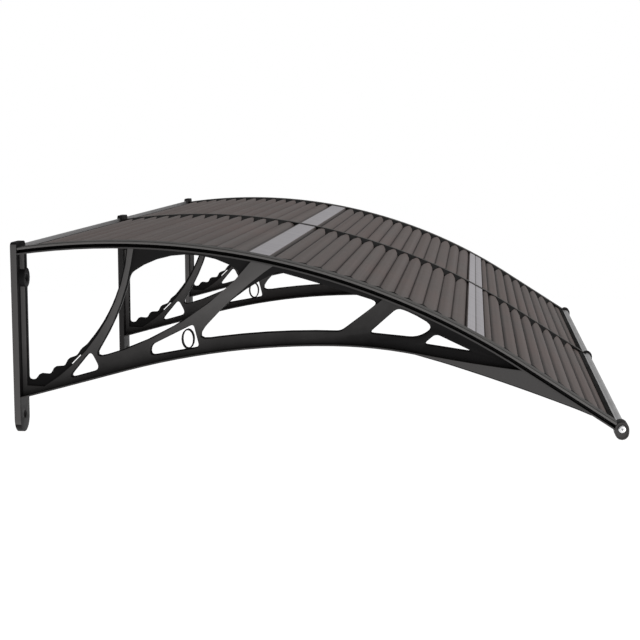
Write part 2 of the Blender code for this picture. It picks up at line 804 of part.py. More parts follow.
def rear_bar_heights():
    """Top of the rear bar's leg, top of its ledge, and underside of its ledge."""
    top = PLATE_TOP - REAR_BAR_BELOW_PLATE_TOP
    ledge_top = rail_point(0.0, FLANGE_TOP_LEVEL).y
    return top, ledge_top, ledge_top - REAR_LEDGE_THICKNESS


def pocket_cutter(x, side):
    """Cutter for the pocket that takes a rear bar's end, on one side of the plate."""
    top, _, bottom = rear_bar_heights()
    near = REAR_BAR_BACK - CONTACT_GAP
    far = REAR_BAR_BACK + REAR_LEG_THICKNESS + CONTACT_GAP
    low, high = bottom - CONTACT_GAP, top + CONTACT_GAP
    outline = [Vector((near, low)), Vector((far, low)), Vector((far, high)), Vector((near, high))]
    outside = x + side * (PLATE_WIDTH / 2 + OVERLAP)
    inside = x + side * (PLATE_WIDTH / 2 - REAR_BAR_PLUG - CONTACT_GAP)
    return across_slab("pocket", outline, min(inside, outside), max(inside, outside))


def tip_hole_cutter(x):
    """Cutter for the hole along the wall direction through the tip cap."""
    radius = (TIP_SCREW_DIAMETER + HOLE_PLAY) / 2
    outline = round_outline(TIP, radius, radius, 12)
    return across_slab("tip_hole", outline, x - CAP_WIDTH, x + CAP_WIDTH)


def outer_cap(x, side):
    """The tip cap of an outer bracket, out to its side face."""
    inner = x + side * (SPINE_WIDTH / 2 - OVERLAP)
    face = x + side * CAP_WIDTH / 2
    return across_slab("outer_cap", cap_outline(CAP_RADIUS), min(inner, face), max(inner, face))


def cap_recess_cutter(x, side):
    """Cutter for the shallow recess inside the cap's rim, on its outer face."""
    face = x + side * CAP_WIDTH / 2
    deep = face - side * CAP_RECESS
    over = face + side * OVERLAP
    return across_slab("recess", cap_outline(CAP_RADIUS - CAP_RIM), min(deep, over), max(deep, over))


def moulding(x):
    """The form that all brackets share, with the holes that all of them have."""
    made = rail_and_arch_flanges(x)
    fuse(made, fuse(wall_plate(x), boss(x)), spine(x), keel(x), fuse(thin_web(x), ring(x)), thick_arms(x))
    fuse(made, across_slab("cap", cap_outline(CAP_RADIUS), x - SPINE_WIDTH / 2, x + SPINE_WIDTH / 2))
    carve(made, *wall_hole_cutters(x))
    carve(made, *[cover_hole_cutter(x, distance) for distance in screw_line_distances()])
    return in_triangles(made)


def bracket(name, shared, shared_x, x, outer_side):
    """One moulded bracket; outer_side is -1 or 1 at the canopy's ends and 0 in the middle."""
    made = bpy.data.objects.new(name, shared.data.copy())
    bpy.context.scene.collection.objects.link(made)
    made.data.transform(Matrix.Translation((x - shared_x, 0.0, 0.0)))
    carve(made, *[pocket_cutter(x, side) for side in (-1, 1) if side != outer_side])
    if outer_side:
        fuse(made, outer_cap(x, outer_side))
        carve(made, cap_recess_cutter(x, outer_side))
    carve(made, tip_hole_cutter(x))
    return black_plastic(smooth(made, 30.0))


# Pieces on the brackets


def cover_section(outer_side):
    """Section of the cover strip as (x from the bracket's middle, level)."""
    low, top, lip = COVER_TOP_LEVEL - COVER_LIP_THICKNESS, COVER_TOP_LEVEL, COVER_LIP_REACH
    if not outer_side:
        return [(-lip, low), (lip, low), (lip, top), (-lip, top)]
    half = RAIL_WIDTH / 2
    beside_spine = SPINE_WIDTH / 2 + CONTACT_GAP
    section = [
        (-lip, low), (beside_spine, low), (beside_spine, 0.0), (half, 0.0),
        (half, COVER_SIDE), (half - COVER_EDGE_SLOPE, top), (-lip, top),
    ]
    return [(outer_side * side, level) for side, level in section]


def cover_strip(name, x, outer_side):
    """Strip that lies on the spine and clamps the sheets' side edges."""
    lean = math.tan(abs(RAIL_START_ANGLE)) * COVER_TOP_LEVEL
    rings = []
    for distance in rail_distances(lean + CONTACT_GAP, RAIL_LENGTH - CAP_RADIUS - CONTACT_GAP):
        places = [(side, rail_point(distance, level)) for side, level in cover_section(outer_side)]
        rings.append([Vector((x + side, -place.x, place.y)) for side, place in places])
    made = loft(name, rings)
    carve(made, *[cover_hole_cutter(x, distance) for distance in screw_line_distances()])
    return black_plastic(smooth(made))


def cross_cutter(height, reach):
    """Cross for a cross-head driver, sunk from a height on the Z axis."""
    half = CROSS_WIDTH / 2
    corners = []
    for quarter in range(4):
        turn = Matrix.Rotation(math.radians(90.0 * quarter), 2)
        corners += [turn @ Vector(place) for place in ((half, half), (half, reach), (-half, reach))]
    low, high = height - CROSS_DEPTH, height + CROSS_DEPTH
    return loft("cross", [[Vector((c.x, c.y, z)) for c in corners] for z in (low, high)])


def cover_screw(name, x, distance):
    """Countersunk screw that holds the cover strip down on the spine."""
    shank = COVER_SCREW_DIAMETER / 2
    head = COVER_SCREW_HEAD_DIAMETER / 2
    top = COVER_TOP_LEVEL - CONTACT_GAP
    neck = top - COVER_SCREW_HEAD_HEIGHT
    tip = top - COVER_SCREW_LENGTH
    profile = [
        (shank / 2, tip), (shank, tip + shank), (shank, neck), (head, top - CONTACT_GAP), (head, top),
    ]
    made = carve(turned(name, profile, SMALL_SIDES), cross_cutter(top, head / 2))
    made.name = name
    return blackened_steel(smooth(along_level(made, x, distance, 0.0)))


def tip_screw(name, x, side):
    """Domed cross-head screw through the outer tip cap into the front bar's channel."""
    shank = TIP_SCREW_DIAMETER / 2
    head = TIP_SCREW_HEAD_DIAMETER / 2
    seat = CAP_WIDTH / 2 - CAP_RECESS + CONTACT_GAP
    top = seat + TIP_SCREW_HEAD_HEIGHT
    end = -(SPINE_WIDTH / 2 + TIP_SCREW_IN_BAR)
    profile = [
        (shank / 2, end), (shank, end + shank), (shank, seat), (head, seat),
        (head, seat + 0.35 * TIP_SCREW_HEAD_HEIGHT), (0.86 * head, seat + 0.75 * TIP_SCREW_HEAD_HEIGHT),
        (0.55 * head, top),
    ]
    made = carve(turned(name, profile, ROUND_SIDES), cross_cutter(top, head / 2))
    made.name = name
    turn = Matrix.Rotation(math.radians(90.0 * side), 4, "Y")
    made.matrix_world = Matrix.Translation((x, -TIP.x, TIP.y)) @ turn
    return steel(smooth(made))


def tip_joiner(name, x):
    """Stud through the middle tip cap that plugs into both front bars."""
    radius = TIP_SCREW_DIAMETER / 2
    half = SPINE_WIDTH / 2 + TIP_SCREW_IN_BAR
    chamfer = radius / 3
    profile = [
        (radius - chamfer, -half), (radius, chamfer - half),
        (radius, half - chamfer), (radius - chamfer, half),
    ]
    made = turned(name, profile, SMALL_SIDES)
    made.matrix_world = Matrix.Translation((x, -TIP.x, TIP.y)) @ Matrix.Rotation(math.radians(90.0), 4, "Y")
    return steel(smooth(made))


# Ends of the long pieces


def front_span(x_left, x_right):
    """Ends of a sheet or a front piece, which reach to the spines of two brackets."""
    inset = SPINE_WIDTH / 2 + CONTACT_GAP
    return x_left + inset, x_right - inset


def rear_span(x_left, x_right):
    """Ends of a rear piece, which fits between the plates of two brackets."""
    inset = PLATE_WIDTH / 2 + CONTACT_GAP
    return x_left + inset, x_right - inset


# Sheets


def rib_levels(start, pitch):
    """Places of one rib, from the valley where it starts up over its flat rounded top."""
    places = []
    for share in (0.0, 0.14, 0.36, 0.64, 0.86):
        rise = math.sin(math.pi * share) ** RIB_BULGE_POWER
        places.append((start + share * pitch, VALLEY_LEVEL + (CREST_LEVEL - VALLEY_LEVEL) * rise))
    return places


def land_levels(start, land, grooved):
    """Places of a flat land: rise, flat and fall, with a shallow groove in the middle of one."""
    rise, flat, fall = land
    middle = start + rise + flat / 2
    groove = []
    if grooved:
        half = LAND_GROOVE_WIDTH / 2
        bottom = CREST_LEVEL - LAND_GROOVE_DEPTH
        groove = [(middle - half, CREST_LEVEL), (middle, bottom), (middle + half, CREST_LEVEL)]
    places = [(start, VALLEY_LEVEL), (start + rise, CREST_LEVEL)] + groove
    return places + [(start + rise + flat, CREST_LEVEL)], start + rise + flat + fall


def sheet_line():
    """Top side of the sheet as (distance, level) from its wall edge to its front edge."""
    end = RAIL_LENGTH - SHEET_EDGE_TO_TIP
    gasket_start = RAIL_LENGTH - BAR_LENGTH_BACK - CONTACT_GAP - FRONT_GASKET_WIDTH
    places = [(SHEET_START, VALLEY_LEVEL)]
    distance = FIRST_RIB_START
    for _ in range(FIRST_FIELD_RIBS):
        places += rib_levels(distance, RIB_PITCH)
        distance += RIB_PITCH
    land, distance = land_levels(distance, FIRST_LAND, False)
    places += land
    for _ in range(SECOND_FIELD_RIBS):
        places += rib_levels(distance, RIB_PITCH)
        distance += RIB_PITCH
    land, distance = land_levels(distance, SECOND_LAND, True)
    places += land
    places += rib_levels(distance, NARROW_RIB)
    distance += NARROW_RIB
    room = gasket_start - FRONT_FLAT_LENGTH - END_RISE - distance
    for _ in range(max(int(room / RIB_PITCH + 0.01), 0)):
        places += rib_levels(distance, RIB_PITCH)
        distance += RIB_PITCH
    places += [(distance, VALLEY_LEVEL), (distance + END_RISE, SHEET_FRONT_LEVEL)]
    return places + [(end, SHEET_FRONT_LEVEL)]


def sheet(name, x_left, x_right):
    """Ribbed sheet bent over the rails, its side edges in the slots of two brackets."""
    line = sheet_line()
    top = [rail_point(distance, level) for distance, level in line]
    under = [rail_point(distance, level - SHEET_THICKNESS) for distance, level in reversed(line)]
    left, right = front_span(x_left, x_right)
    made = across_slab(name, top + under, left, right)
    return brown_polycarbonate(smooth(made, 50.0))


# Bars and gaskets


def from_tip(forward, level):
    """Place measured from the screw axis along the rail line and square to it."""
    return rail_point(RAIL_LENGTH + forward, level)


def front_bar(name, x_left, x_right):
    """Front bar: round nose, round channel for the tip screws, and a slot for the sheet's edge."""
    slot_end = -SHEET_EDGE_TO_TIP + CONTACT_GAP
    nose = []
    for step in range(ROUND_SIDES // 2 + 1):
        turn = math.radians(105.0 - 210.0 * step / (ROUND_SIDES // 2))
        nose.append(from_tip(BAR_NOSE_RADIUS * math.cos(turn), BAR_NOSE_RADIUS * math.sin(turn)))
    slot_top = SHEET_FRONT_LEVEL + CONTACT_GAP
    back = [
        from_tip(-BAR_LENGTH_BACK, -BAR_BACK_BOTTOM), from_tip(-BAR_LENGTH_BACK, -BAR_SLOT_BOTTOM),
        from_tip(slot_end, -BAR_SLOT_BOTTOM), from_tip(slot_end, slot_top),
        from_tip(-BAR_LENGTH_BACK, slot_top), from_tip(-BAR_LENGTH_BACK, BAR_BACK_TOP),
    ]
    left, right = front_span(x_left, x_right)
    made = across_slab(name, nose + back, left, right)
    radius = BAR_CHANNEL_DIAMETER / 2
    channel = round_outline(TIP, radius, radius, 12)
    carve(made, across_slab("channel", channel, left - OVERLAP, right + OVERLAP))
    return aluminium(smooth(made))


def front_gasket(name, x_left, x_right):
    """Strip on the sheet behind the front bar."""
    far = -BAR_LENGTH_BACK - CONTACT_GAP
    near = far - FRONT_GASKET_WIDTH
    low = SHEET_FRONT_LEVEL + CONTACT_GAP
    outline = [
        from_tip(near, low), from_tip(far, low), from_tip(far, FRONT_GASKET_HEIGHT),
        from_tip(near + FRONT_GASKET_SLOPE, FRONT_GASKET_HEIGHT), from_tip(near, low + OVERLAP),
    ]
    left, right = front_span(x_left, x_right)
    return black_rubber(across_slab(name, outline, left, right))


def rear_bar(name, x_left, x_right):
    """Rear bar: a leg whose ends plug into the plates, with a ledge under the sheet's wall edge."""
    top, ledge_top, bottom = rear_bar_heights()
    back = REAR_BAR_BACK
    front = REAR_BAR_BACK + REAR_LEG_THICKNESS
    ledge_end = front + REAR_LEDGE_WIDTH
    left, right = rear_span(x_left, x_right)
    leg = [Vector((back, bottom)), Vector((front, bottom)), Vector((front, top)), Vector((back, top))]
    ledge = [Vector((front - OVERLAP, bottom + CONTACT_GAP)), Vector((ledge_end, bottom + CONTACT_GAP))]
    ledge += [Vector((ledge_end, ledge_top)), Vector((front - OVERLAP, ledge_top))]
    plug = REAR_BAR_PLUG
    made = across_slab(name, leg, left - plug, right + plug)
    return aluminium(fuse(made, across_slab("ledge", ledge, left, right)))


def rear_gasket(name, x_left, x_right):
    """Strip that fills the groove between the rear bar's leg and the sheet's wall edge."""
    _, ledge_top, _ = rear_bar_heights()
    near = REAR_BAR_BACK + REAR_LEG_THICKNESS + CONTACT_GAP
    far = near + REAR_GASKET_WIDTH
    low = ledge_top + CONTACT_GAP
    high = rail_point(0.0, 0.0).y
    outline = [Vector((near, low)), Vector((far, low)), Vector((far, high)), Vector((near, high))]
    left, right = rear_span(x_left, x_right)
    return black_rubber(across_slab(name, outline, left, right))


def clear_scene():
    """Start from an empty scene."""
    for old in list(bpy.data.objects):
        bpy.data.objects.remove(old)


def build_canopy():
    """All pieces, left to right."""
    middle = (len(BRACKET_NAMES) - 1) / 2
    places = [(index - middle) * BRACKET_SPACING for index in range(len(BRACKET_NAMES))]
    last = len(BRACKET_NAMES) - 1
    shared = moulding(places[0])
    for index, (name, x) in enumerate(zip(BRACKET_NAMES, places)):
        outer_side = {0: -1, last: 1}.get(index, 0)
        bracket("bracket_" + name, shared, places[0], x, outer_side)
        cover_strip("cover_strip_" + name, x, outer_side)
        for number, distance in enumerate(screw_line_distances(), 1):
            cover_screw("cover_screw_" + name + "_" + str(number), x, distance)
        if outer_side:
            tip_screw("tip_screw_" + name, x, outer_side)
        else:
            tip_joiner("tip_joiner", x)
    for name, x_left, x_right in (("left", places[0], places[1]), ("right", places[1], places[2])):
        sheet("sheet_" + name, x_left, x_right)
        front_bar("front_bar_" + name, x_left, x_right)
        front_gasket("front_gasket_" + name, x_left, x_right)
        rear_bar("rear_bar_" + name, x_left, x_right)
        rear_gasket("rear_gasket_" + name, x_left, x_right)
    bpy.data.objects.remove(shared)


clear_scene()
build_canopy()
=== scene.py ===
# %% [markdown]
# # A door canopy of ribbed polycarbonate
#
# The canopy hangs on three black moulded brackets. Two brown ribbed sheets are bent over the brackets, strips
# clamp their side edges, and an aluminium bar runs along the front edge and along the wall edge. The solids
# from the CAD model come in first as a fixed frame. Every piece made here sits exactly where they are.

# %% Load the frame
import math

import bmesh
import bpy
from mathutils import Matrix, Vector


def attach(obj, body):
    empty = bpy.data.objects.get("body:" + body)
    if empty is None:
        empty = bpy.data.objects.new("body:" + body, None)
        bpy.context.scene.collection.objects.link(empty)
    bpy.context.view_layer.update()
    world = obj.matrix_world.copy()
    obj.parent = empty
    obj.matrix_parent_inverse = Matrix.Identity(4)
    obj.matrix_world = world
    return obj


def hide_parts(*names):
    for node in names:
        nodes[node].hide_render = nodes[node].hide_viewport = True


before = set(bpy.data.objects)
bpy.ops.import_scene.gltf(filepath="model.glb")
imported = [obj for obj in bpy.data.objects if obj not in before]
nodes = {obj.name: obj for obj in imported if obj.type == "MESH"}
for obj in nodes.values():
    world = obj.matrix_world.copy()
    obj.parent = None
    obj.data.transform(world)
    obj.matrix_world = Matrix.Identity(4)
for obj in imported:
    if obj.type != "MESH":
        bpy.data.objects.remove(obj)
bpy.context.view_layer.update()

# %% [markdown]
# ## The camera
#
# The picture was taken from beside the left bracket, a little above the canopy, looking along the wall. A
# camera could be placed by eye, but lines that run along the wall meet in one point of the picture, and that
# point gives the two angles directly. The height and the distance follow from the size of the left bracket.

# %% Camera at the photograph's viewing angle
CAMERA_PLACE = (-3.0576, -0.7524, 0.3468)
CAMERA_YAW = math.radians(6.004)
CAMERA_PITCH = math.radians(7.563)
CAMERA_LENS = 81.88

camera_data = bpy.data.cameras.new("camera")
camera = bpy.data.objects.new("camera", camera_data)
bpy.context.scene.collection.objects.link(camera)
camera_data.sensor_width = 36.0
camera_data.lens = CAMERA_LENS
camera_data.clip_end = 60.0
looking = Vector((math.cos(CAMERA_PITCH) * math.cos(CAMERA_YAW),
                  math.cos(CAMERA_PITCH) * math.sin(CAMERA_YAW), -math.sin(CAMERA_PITCH)))
camera.location = CAMERA_PLACE
camera.rotation_euler = looking.to_track_quat("-Z", "Y").to_euler()
bpy.context.scene.camera = camera
print("camera looks along", tuple(round(part, 3) for part in looking))

# %% [markdown]
# ## Light and floor
#
# The canopy stands in front of plain white. A white world gives that, but its even light would make black
# plastic look flat and grey. So what the camera sees directly is full white, and what lights the canopy is a
# much dimmer grey. Large soft lights then add direction: one above the front edge, one beside the left end,
# and a glow from the pale floor, which lies two metres down, where a doorstep would be.

# %% World, lights and floor
FLOOR_HEIGHT = -2.35
ROOM_LIGHT = 0.34
FLOOR_GLOW = 0.74

world = bpy.data.worlds.new("white_room")
world.use_nodes = True
bpy.context.scene.world = world
bpy.context.scene.view_settings.view_transform = "Standard"
world_tree = world.node_tree
background = world_tree.nodes["Background"]
background.inputs["Color"].default_value = (1.0, 1.0, 1.0, 1.0)
seen = world_tree.nodes.new("ShaderNodeLightPath")
strength = world_tree.nodes.new("ShaderNodeMapRange")
strength.inputs["To Min"].default_value = ROOM_LIGHT
strength.inputs["To Max"].default_value = 1.0
world_tree.links.new(seen.outputs["Is Camera Ray"], strength.inputs["Value"])
world_tree.links.new(strength.outputs["Result"], background.inputs["Strength"])


def soft_light(name, place, target, size, watts):
    """A square area light that looks at a target."""
    data = bpy.data.lights.new(name, "AREA")
    data.size = size
    data.energy = watts
    light = bpy.data.objects.new(name, data)
    bpy.context.scene.collection.objects.link(light)
    light.location = place
    light.rotation_euler = (Vector(target) - Vector(place)).to_track_quat("-Z", "Y").to_euler()


soft_light("light_above", place=(0.3, -2.2, 2.6), target=(0.0, -0.5, 0.0), size=2.2, watts=32.0)
soft_light("light_beside", place=(-2.2, -1.7, -0.15), target=(-0.725, -0.45, 0.0), size=0.9, watts=9.0)

bpy.ops.object.select_all(action="DESELECT")
bpy.ops.mesh.primitive_plane_add(size=40.0, location=(0.0, 0.0, FLOOR_HEIGHT))
floor = bpy.context.object
floor.name = "floor"
paper = bpy.data.materials.new("pale_paper")
paper.use_nodes = True
paper_shader = paper.node_tree.nodes["Principled BSDF"]
paper_shader.inputs["Base Color"].default_value = (0.92, 0.92, 0.92, 1.0)
paper_shader.inputs["Roughness"].default_value = 0.9
paper_shader.inputs["Emission Color"].default_value = (1.0, 1.0, 1.0, 1.0)
paper_shader.inputs["Emission Strength"].default_value = FLOOR_GLOW
floor.data.materials.append(paper)

# %% [markdown]
# ## Working by hand, in code
#
# Each piece below starts as a primitive and is shaped in edit mode. An operator works on whatever is
# selected, and the frame arrives with all its nodes selected, so some helpers come first. One clears the
# selection, and one selects by a test on place or normal, as a modeller would click. The others cut across a
# piece, extrude, turn faces outwards, apply what was done, and hand the piece over to the frame.


# %% Helpers for selecting and finishing
def clean_slate():
    """Object mode, nothing selected."""
    if bpy.context.object and bpy.context.object.mode != "OBJECT":
        bpy.ops.object.mode_set(mode="OBJECT")
    bpy.ops.object.select_all(action="DESELECT")


def only(piece):
    """Select one object and make it active."""
    clean_slate()
    piece.select_set(True)
    bpy.context.view_layer.objects.active = piece


def pick(piece, kind, test):
    """In edit mode, select only the faces, edges or vertices that pass a test."""
    mesh = bmesh.from_edit_mesh(piece.data)
    bpy.ops.mesh.select_mode(type={"verts": "VERT", "edges": "EDGE", "faces": "FACE"}[kind])
    for group in (mesh.faces, mesh.edges, mesh.verts):
        for element in group:
            element.select = False
    chosen = [element for element in getattr(mesh, kind) if test(element)]
    for element in chosen:
        element.select = True
    mesh.select_flush_mode()
    bmesh.update_edit_mesh(piece.data)
    return len(chosen)


def cut_across(place, normal, **more):
    """In edit mode, cut the whole piece by a plane; more options go to the operator."""
    bpy.ops.mesh.select_all(action="SELECT")
    bpy.ops.mesh.bisect(plane_co=place, plane_no=normal, **more)


def pull(offset):
    """In edit mode, extrude what is selected and move it."""
    bpy.ops.mesh.extrude_region_move(TRANSFORM_OT_translate={"value": offset})


def turn_outwards():
    """Turn every face outwards and leave edit mode."""
    bpy.ops.mesh.select_all(action="SELECT")
    bpy.ops.mesh.normals_make_consistent(inside=False)
    bpy.ops.object.mode_set(mode="OBJECT")


def settle(piece):
    """Leave edit mode and put the piece's place, turn and size into its mesh."""
    only(piece)
    bpy.ops.object.transform_apply(location=True, rotation=True, scale=True)
    return piece


def apply_all(piece):
    """Apply every modifier, first to last."""
    only(piece)
    for modifier in list(piece.modifiers):
        bpy.ops.object.modifier_apply(modifier=modifier.name)


def middle_of(edge):
    """Middle of an edge."""
    return (edge.verts[0].co + edge.verts[1].co) / 2


def lowest_of(edge):
    """Height of an edge's lower end."""
    return min(vert.co.z for vert in edge.verts)


def place_on(piece, node):
    """The piece rides on the canopy and stands for a CAD node, which is hidden."""
    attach(piece, "root")
    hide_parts(node)
    print(piece.name, "stands for", node, "with", len(piece.data.polygons), "faces")


# %% [markdown]
# ## The rail line
#
# Sheets, cover strips, bars and screws all follow the top of the brackets: an arc that leaves the wall plate
# rising a little, and a straight run down to the tip. One function gives a place on that line, so that every
# piece agrees with it. Reach is the distance from the wall, and level is the height square to the line.

# %% Sizes of the rail line, and places on it
PLATE_TOP = 0.15935
PLATE_THICKNESS = 0.0104
BRACKET_PLACES = {"left": -0.725, "middle": 0.0, "right": 0.725}
RAIL_RADIUS = 1.2225
RAIL_START_ANGLE = math.radians(-8.06)
RAIL_CROWN_BELOW_PLATE_TOP = 0.0004
RAIL_ARC_LENGTH = 0.861
RAIL_STRAIGHT_LENGTH = 0.1865
RAIL_LENGTH = RAIL_ARC_LENGTH + RAIL_STRAIGHT_LENGTH
RAIL_CENTRE = Vector((PLATE_THICKNESS - RAIL_RADIUS * math.sin(RAIL_START_ANGLE),
                      PLATE_TOP - RAIL_CROWN_BELOW_PLATE_TOP - RAIL_RADIUS))
END_ANGLE = RAIL_START_ANGLE + RAIL_ARC_LENGTH / RAIL_RADIUS


def rail_place(x, distance, level):
    """A place over a bracket's rail, by its distance along the line and its level above it."""
    angle = RAIL_START_ANGLE + min(distance, RAIL_ARC_LENGTH) / RAIL_RADIUS
    beyond = max(distance - RAIL_ARC_LENGTH, 0.0)
    reach = RAIL_CENTRE.x + (RAIL_RADIUS + level) * math.sin(angle) + beyond * math.cos(angle)
    height = RAIL_CENTRE.y + (RAIL_RADIUS + level) * math.cos(angle) - beyond * math.sin(angle)
    return Vector((x, -reach, height))


def tip_place(x, forward, level):
    """A place measured from the screw axis at the tip."""
    return rail_place(x, RAIL_LENGTH + forward, level)


def lean_at(x, along):
    """How far the rail line leans downwards at a distance, as an angle about the X axis."""
    onward_here = rail_place(x, along + 0.001, 0.0) - rail_place(x, along, 0.0)
    return math.atan2(-onward_here.z, -onward_here.y)


print("tip of the rail line:", tuple(round(part, 4) for part in rail_place(0.0, RAIL_LENGTH, 0.0)))

# %% [markdown]
# ## Shared surface effects
#
# The materials here share a few effects: a fine grain, slow changes of gloss, lines left by a die, a little
# dust where dust can lie, edges painted paler as part wear and part painted highlight, and painted light and
# shade on the black brackets. Each effect is built once as a shader node group that puts out only values, and
# a material feeds it its own scale and strength.


# %% A helper that wires up node groups and materials
def wire(tree, kind, inputs=None, **settings):
    """Add a node; inputs are values or output sockets by name or number, settings are its own options."""
    made = tree.nodes.new(kind)
    for name, value in settings.items():
        setattr(made, name, value)
    for name, value in (inputs or {}).items():
        if isinstance(value, bpy.types.NodeSocket):
            tree.links.new(value, made.inputs[name])
        else:
            made.inputs[name].default_value = value
    return made


def new_group(name, numbers, outputs):
    """An empty node group with named number inputs, and value outputs."""
    tree = bpy.data.node_groups.new(name, "ShaderNodeTree")
    for label, start in numbers.items():
        socket = tree.interface.new_socket(label, in_out="INPUT", socket_type="NodeSocketFloat")
        socket.default_value = start
    for label in outputs:
        tree.interface.new_socket(label, in_out="OUTPUT", socket_type="NodeSocketFloat")
    return tree, tree.nodes.new("NodeGroupInput"), tree.nodes.new("NodeGroupOutput")


def between(tree, value, low, high, out_low=0.0, out_high=1.0):
    """Stretch a range of a value to another range, clamped."""
    inputs = {"Value": value, "From Min": low, "From Max": high, "To Min": out_low, "To Max": out_high}
    return wire(tree, "ShaderNodeMapRange", inputs).outputs["Result"]


def maths(tree, operation, first, second):
    """One sum, product or other step with two numbers."""
    return wire(tree, "ShaderNodeMath", {0: first, 1: second}, operation=operation).outputs[0]


def times(tree, first, second):
    """The product of two numbers."""
    return maths(tree, "MULTIPLY", first, second)


def own_place(tree):
    """The place of a point in the object's own coordinates."""
    return wire(tree, "ShaderNodeTexCoord").outputs["Object"]


def noise(tree, place, scale, detail, roughness):
    """Noise at a place; detail counts its finer layers, and roughness is how strong they are."""
    inputs = {"Vector": place, "Scale": scale, "Detail": detail, "Roughness": roughness}
    return wire(tree, "ShaderNodeTexNoise", inputs).outputs[0]


def mark(tree, name):
    """A number that the mesh carries for each of its points or faces."""
    return wire(tree, "ShaderNodeAttribute", attribute_name=name).outputs["Fac"]


# %% [markdown]
# A moulded surface copies the eroded texture of its steel mould: a grain of well under a millimetre. Noise
# gives that grain. A second, far larger noise makes the gloss drift, as where plastic cooled unevenly, and a
# third one in between gives speckles.

# %% Group: grain and gloss drift
grain_tree, grain_in, grain_out = new_group(
    "moulded_grain", {"Grain Scale": 1400.0, "Drift Scale": 9.0}, ("Height", "Drift", "Speckle"))
SPECKLES_PER_DRIFT = 14.0
grain_place = own_place(grain_tree)
speckle_scale = times(grain_tree, grain_in.outputs["Drift Scale"], SPECKLES_PER_DRIFT)
fine = noise(grain_tree, grain_place, grain_in.outputs["Grain Scale"], 3.0, 0.6)
slow = noise(grain_tree, grain_place, grain_in.outputs["Drift Scale"], 4.0, 0.55)
middling = noise(grain_tree, grain_place, speckle_scale, 5.0, 0.7)
grain_tree.links.new(fine, grain_out.inputs["Height"])
grain_tree.links.new(between(grain_tree, slow, 0.3, 0.7), grain_out.inputs["Drift"])
grain_tree.links.new(between(grain_tree, middling, 0.35, 0.75), grain_out.inputs["Speckle"])
print("group", grain_tree.name, "has", len(grain_tree.nodes), "nodes")

# %% [markdown]
# Extruded metal and drawn sheet carry fine lines along the way they were pulled. The lines are noise,
# squeezed hard across the pull and stretched along it. Squeeze numbers for the three axes turn the lines as
# needed.

# %% Group: drawn lines
lines_tree, lines_in, lines_out = new_group(
    "drawn_lines", {"Along X": 2.0, "Along Y": 900.0, "Along Z": 900.0}, ("Lines", "Bands"))
squeeze = wire(lines_tree, "ShaderNodeCombineXYZ", {
    "X": lines_in.outputs["Along X"], "Y": lines_in.outputs["Along Y"], "Z": lines_in.outputs["Along Z"]})
squeezed = wire(lines_tree, "ShaderNodeVectorMath", {0: own_place(lines_tree), 1: squeeze.outputs[0]},
                operation="MULTIPLY").outputs[0]
thin_lines = noise(lines_tree, squeezed, 1.0, 4.0, 0.65)
wide_lines = noise(lines_tree, squeezed, 0.13, 2.0, 0.5)
lines_tree.links.new(between(lines_tree, thin_lines, 0.3, 0.7), lines_out.inputs["Lines"])
lines_tree.links.new(between(lines_tree, wide_lines, 0.35, 0.65), lines_out.inputs["Bands"])
print("group", lines_tree.name, "has", len(lines_tree.nodes), "nodes")

# %% [markdown]
# Dust settles on what faces up, in patches, and rain leaves it thinner on steep faces. The upward part of the
# normal gives the first, and a noise breaks it up.

# %% Group: settled dust
dust_tree, dust_in, dust_out = new_group("settled_dust", {"Amount": 0.3, "Patch Scale": 22.0}, ("Mask",))
facing = wire(dust_tree, "ShaderNodeSeparateXYZ", {
    "Vector": wire(dust_tree, "ShaderNodeNewGeometry").outputs["Normal"]})
facing_up = between(dust_tree, facing.outputs["Z"], 0.45, 0.98)
patches = noise(dust_tree, own_place(dust_tree), dust_in.outputs["Patch Scale"], 6.0, 0.72)
lying = times(dust_tree, facing_up, between(dust_tree, patches, 0.4, 0.72))
dust_tree.links.new(times(dust_tree, lying, dust_in.outputs["Amount"]), dust_out.inputs["Mask"])
print("group", dust_tree.name, "has", len(dust_tree.nodes), "nodes")

# %% [markdown]
# Corners are painted paler, partly as wear from hands, ladders and packing and partly as a painted highlight
# along the edge. The bevel that rounds each corner further down also marks its own faces with an attribute,
# and this group breaks that mark up with noise, so that the paler edge comes and goes along an edge.

# %% Group: edge wear and painted highlight
wear_and_light_tree, wear_and_light_in, wear_and_light_out = new_group("edge_wear_and_highlight", {"Amount": 0.6, "Break Scale": 60.0}, ("Mask",))
wear_and_light_noise = noise(wear_and_light_tree, own_place(wear_and_light_tree), wear_and_light_in.outputs["Break Scale"], 5.0, 0.7)
wear_and_light_broken = between(wear_and_light_tree, wear_and_light_noise, 0.38, 0.62, 0.25, 1.0)
wear_and_light_both = times(wear_and_light_tree, mark(wear_and_light_tree, "worn_and_lit"), wear_and_light_broken)
wear_and_light_tree.links.new(times(wear_and_light_tree, wear_and_light_both, wear_and_light_in.outputs["Amount"]), wear_and_light_out.inputs["Mask"])
print("group", wear_and_light_tree.name, "has", len(wear_and_light_tree.nodes), "nodes")
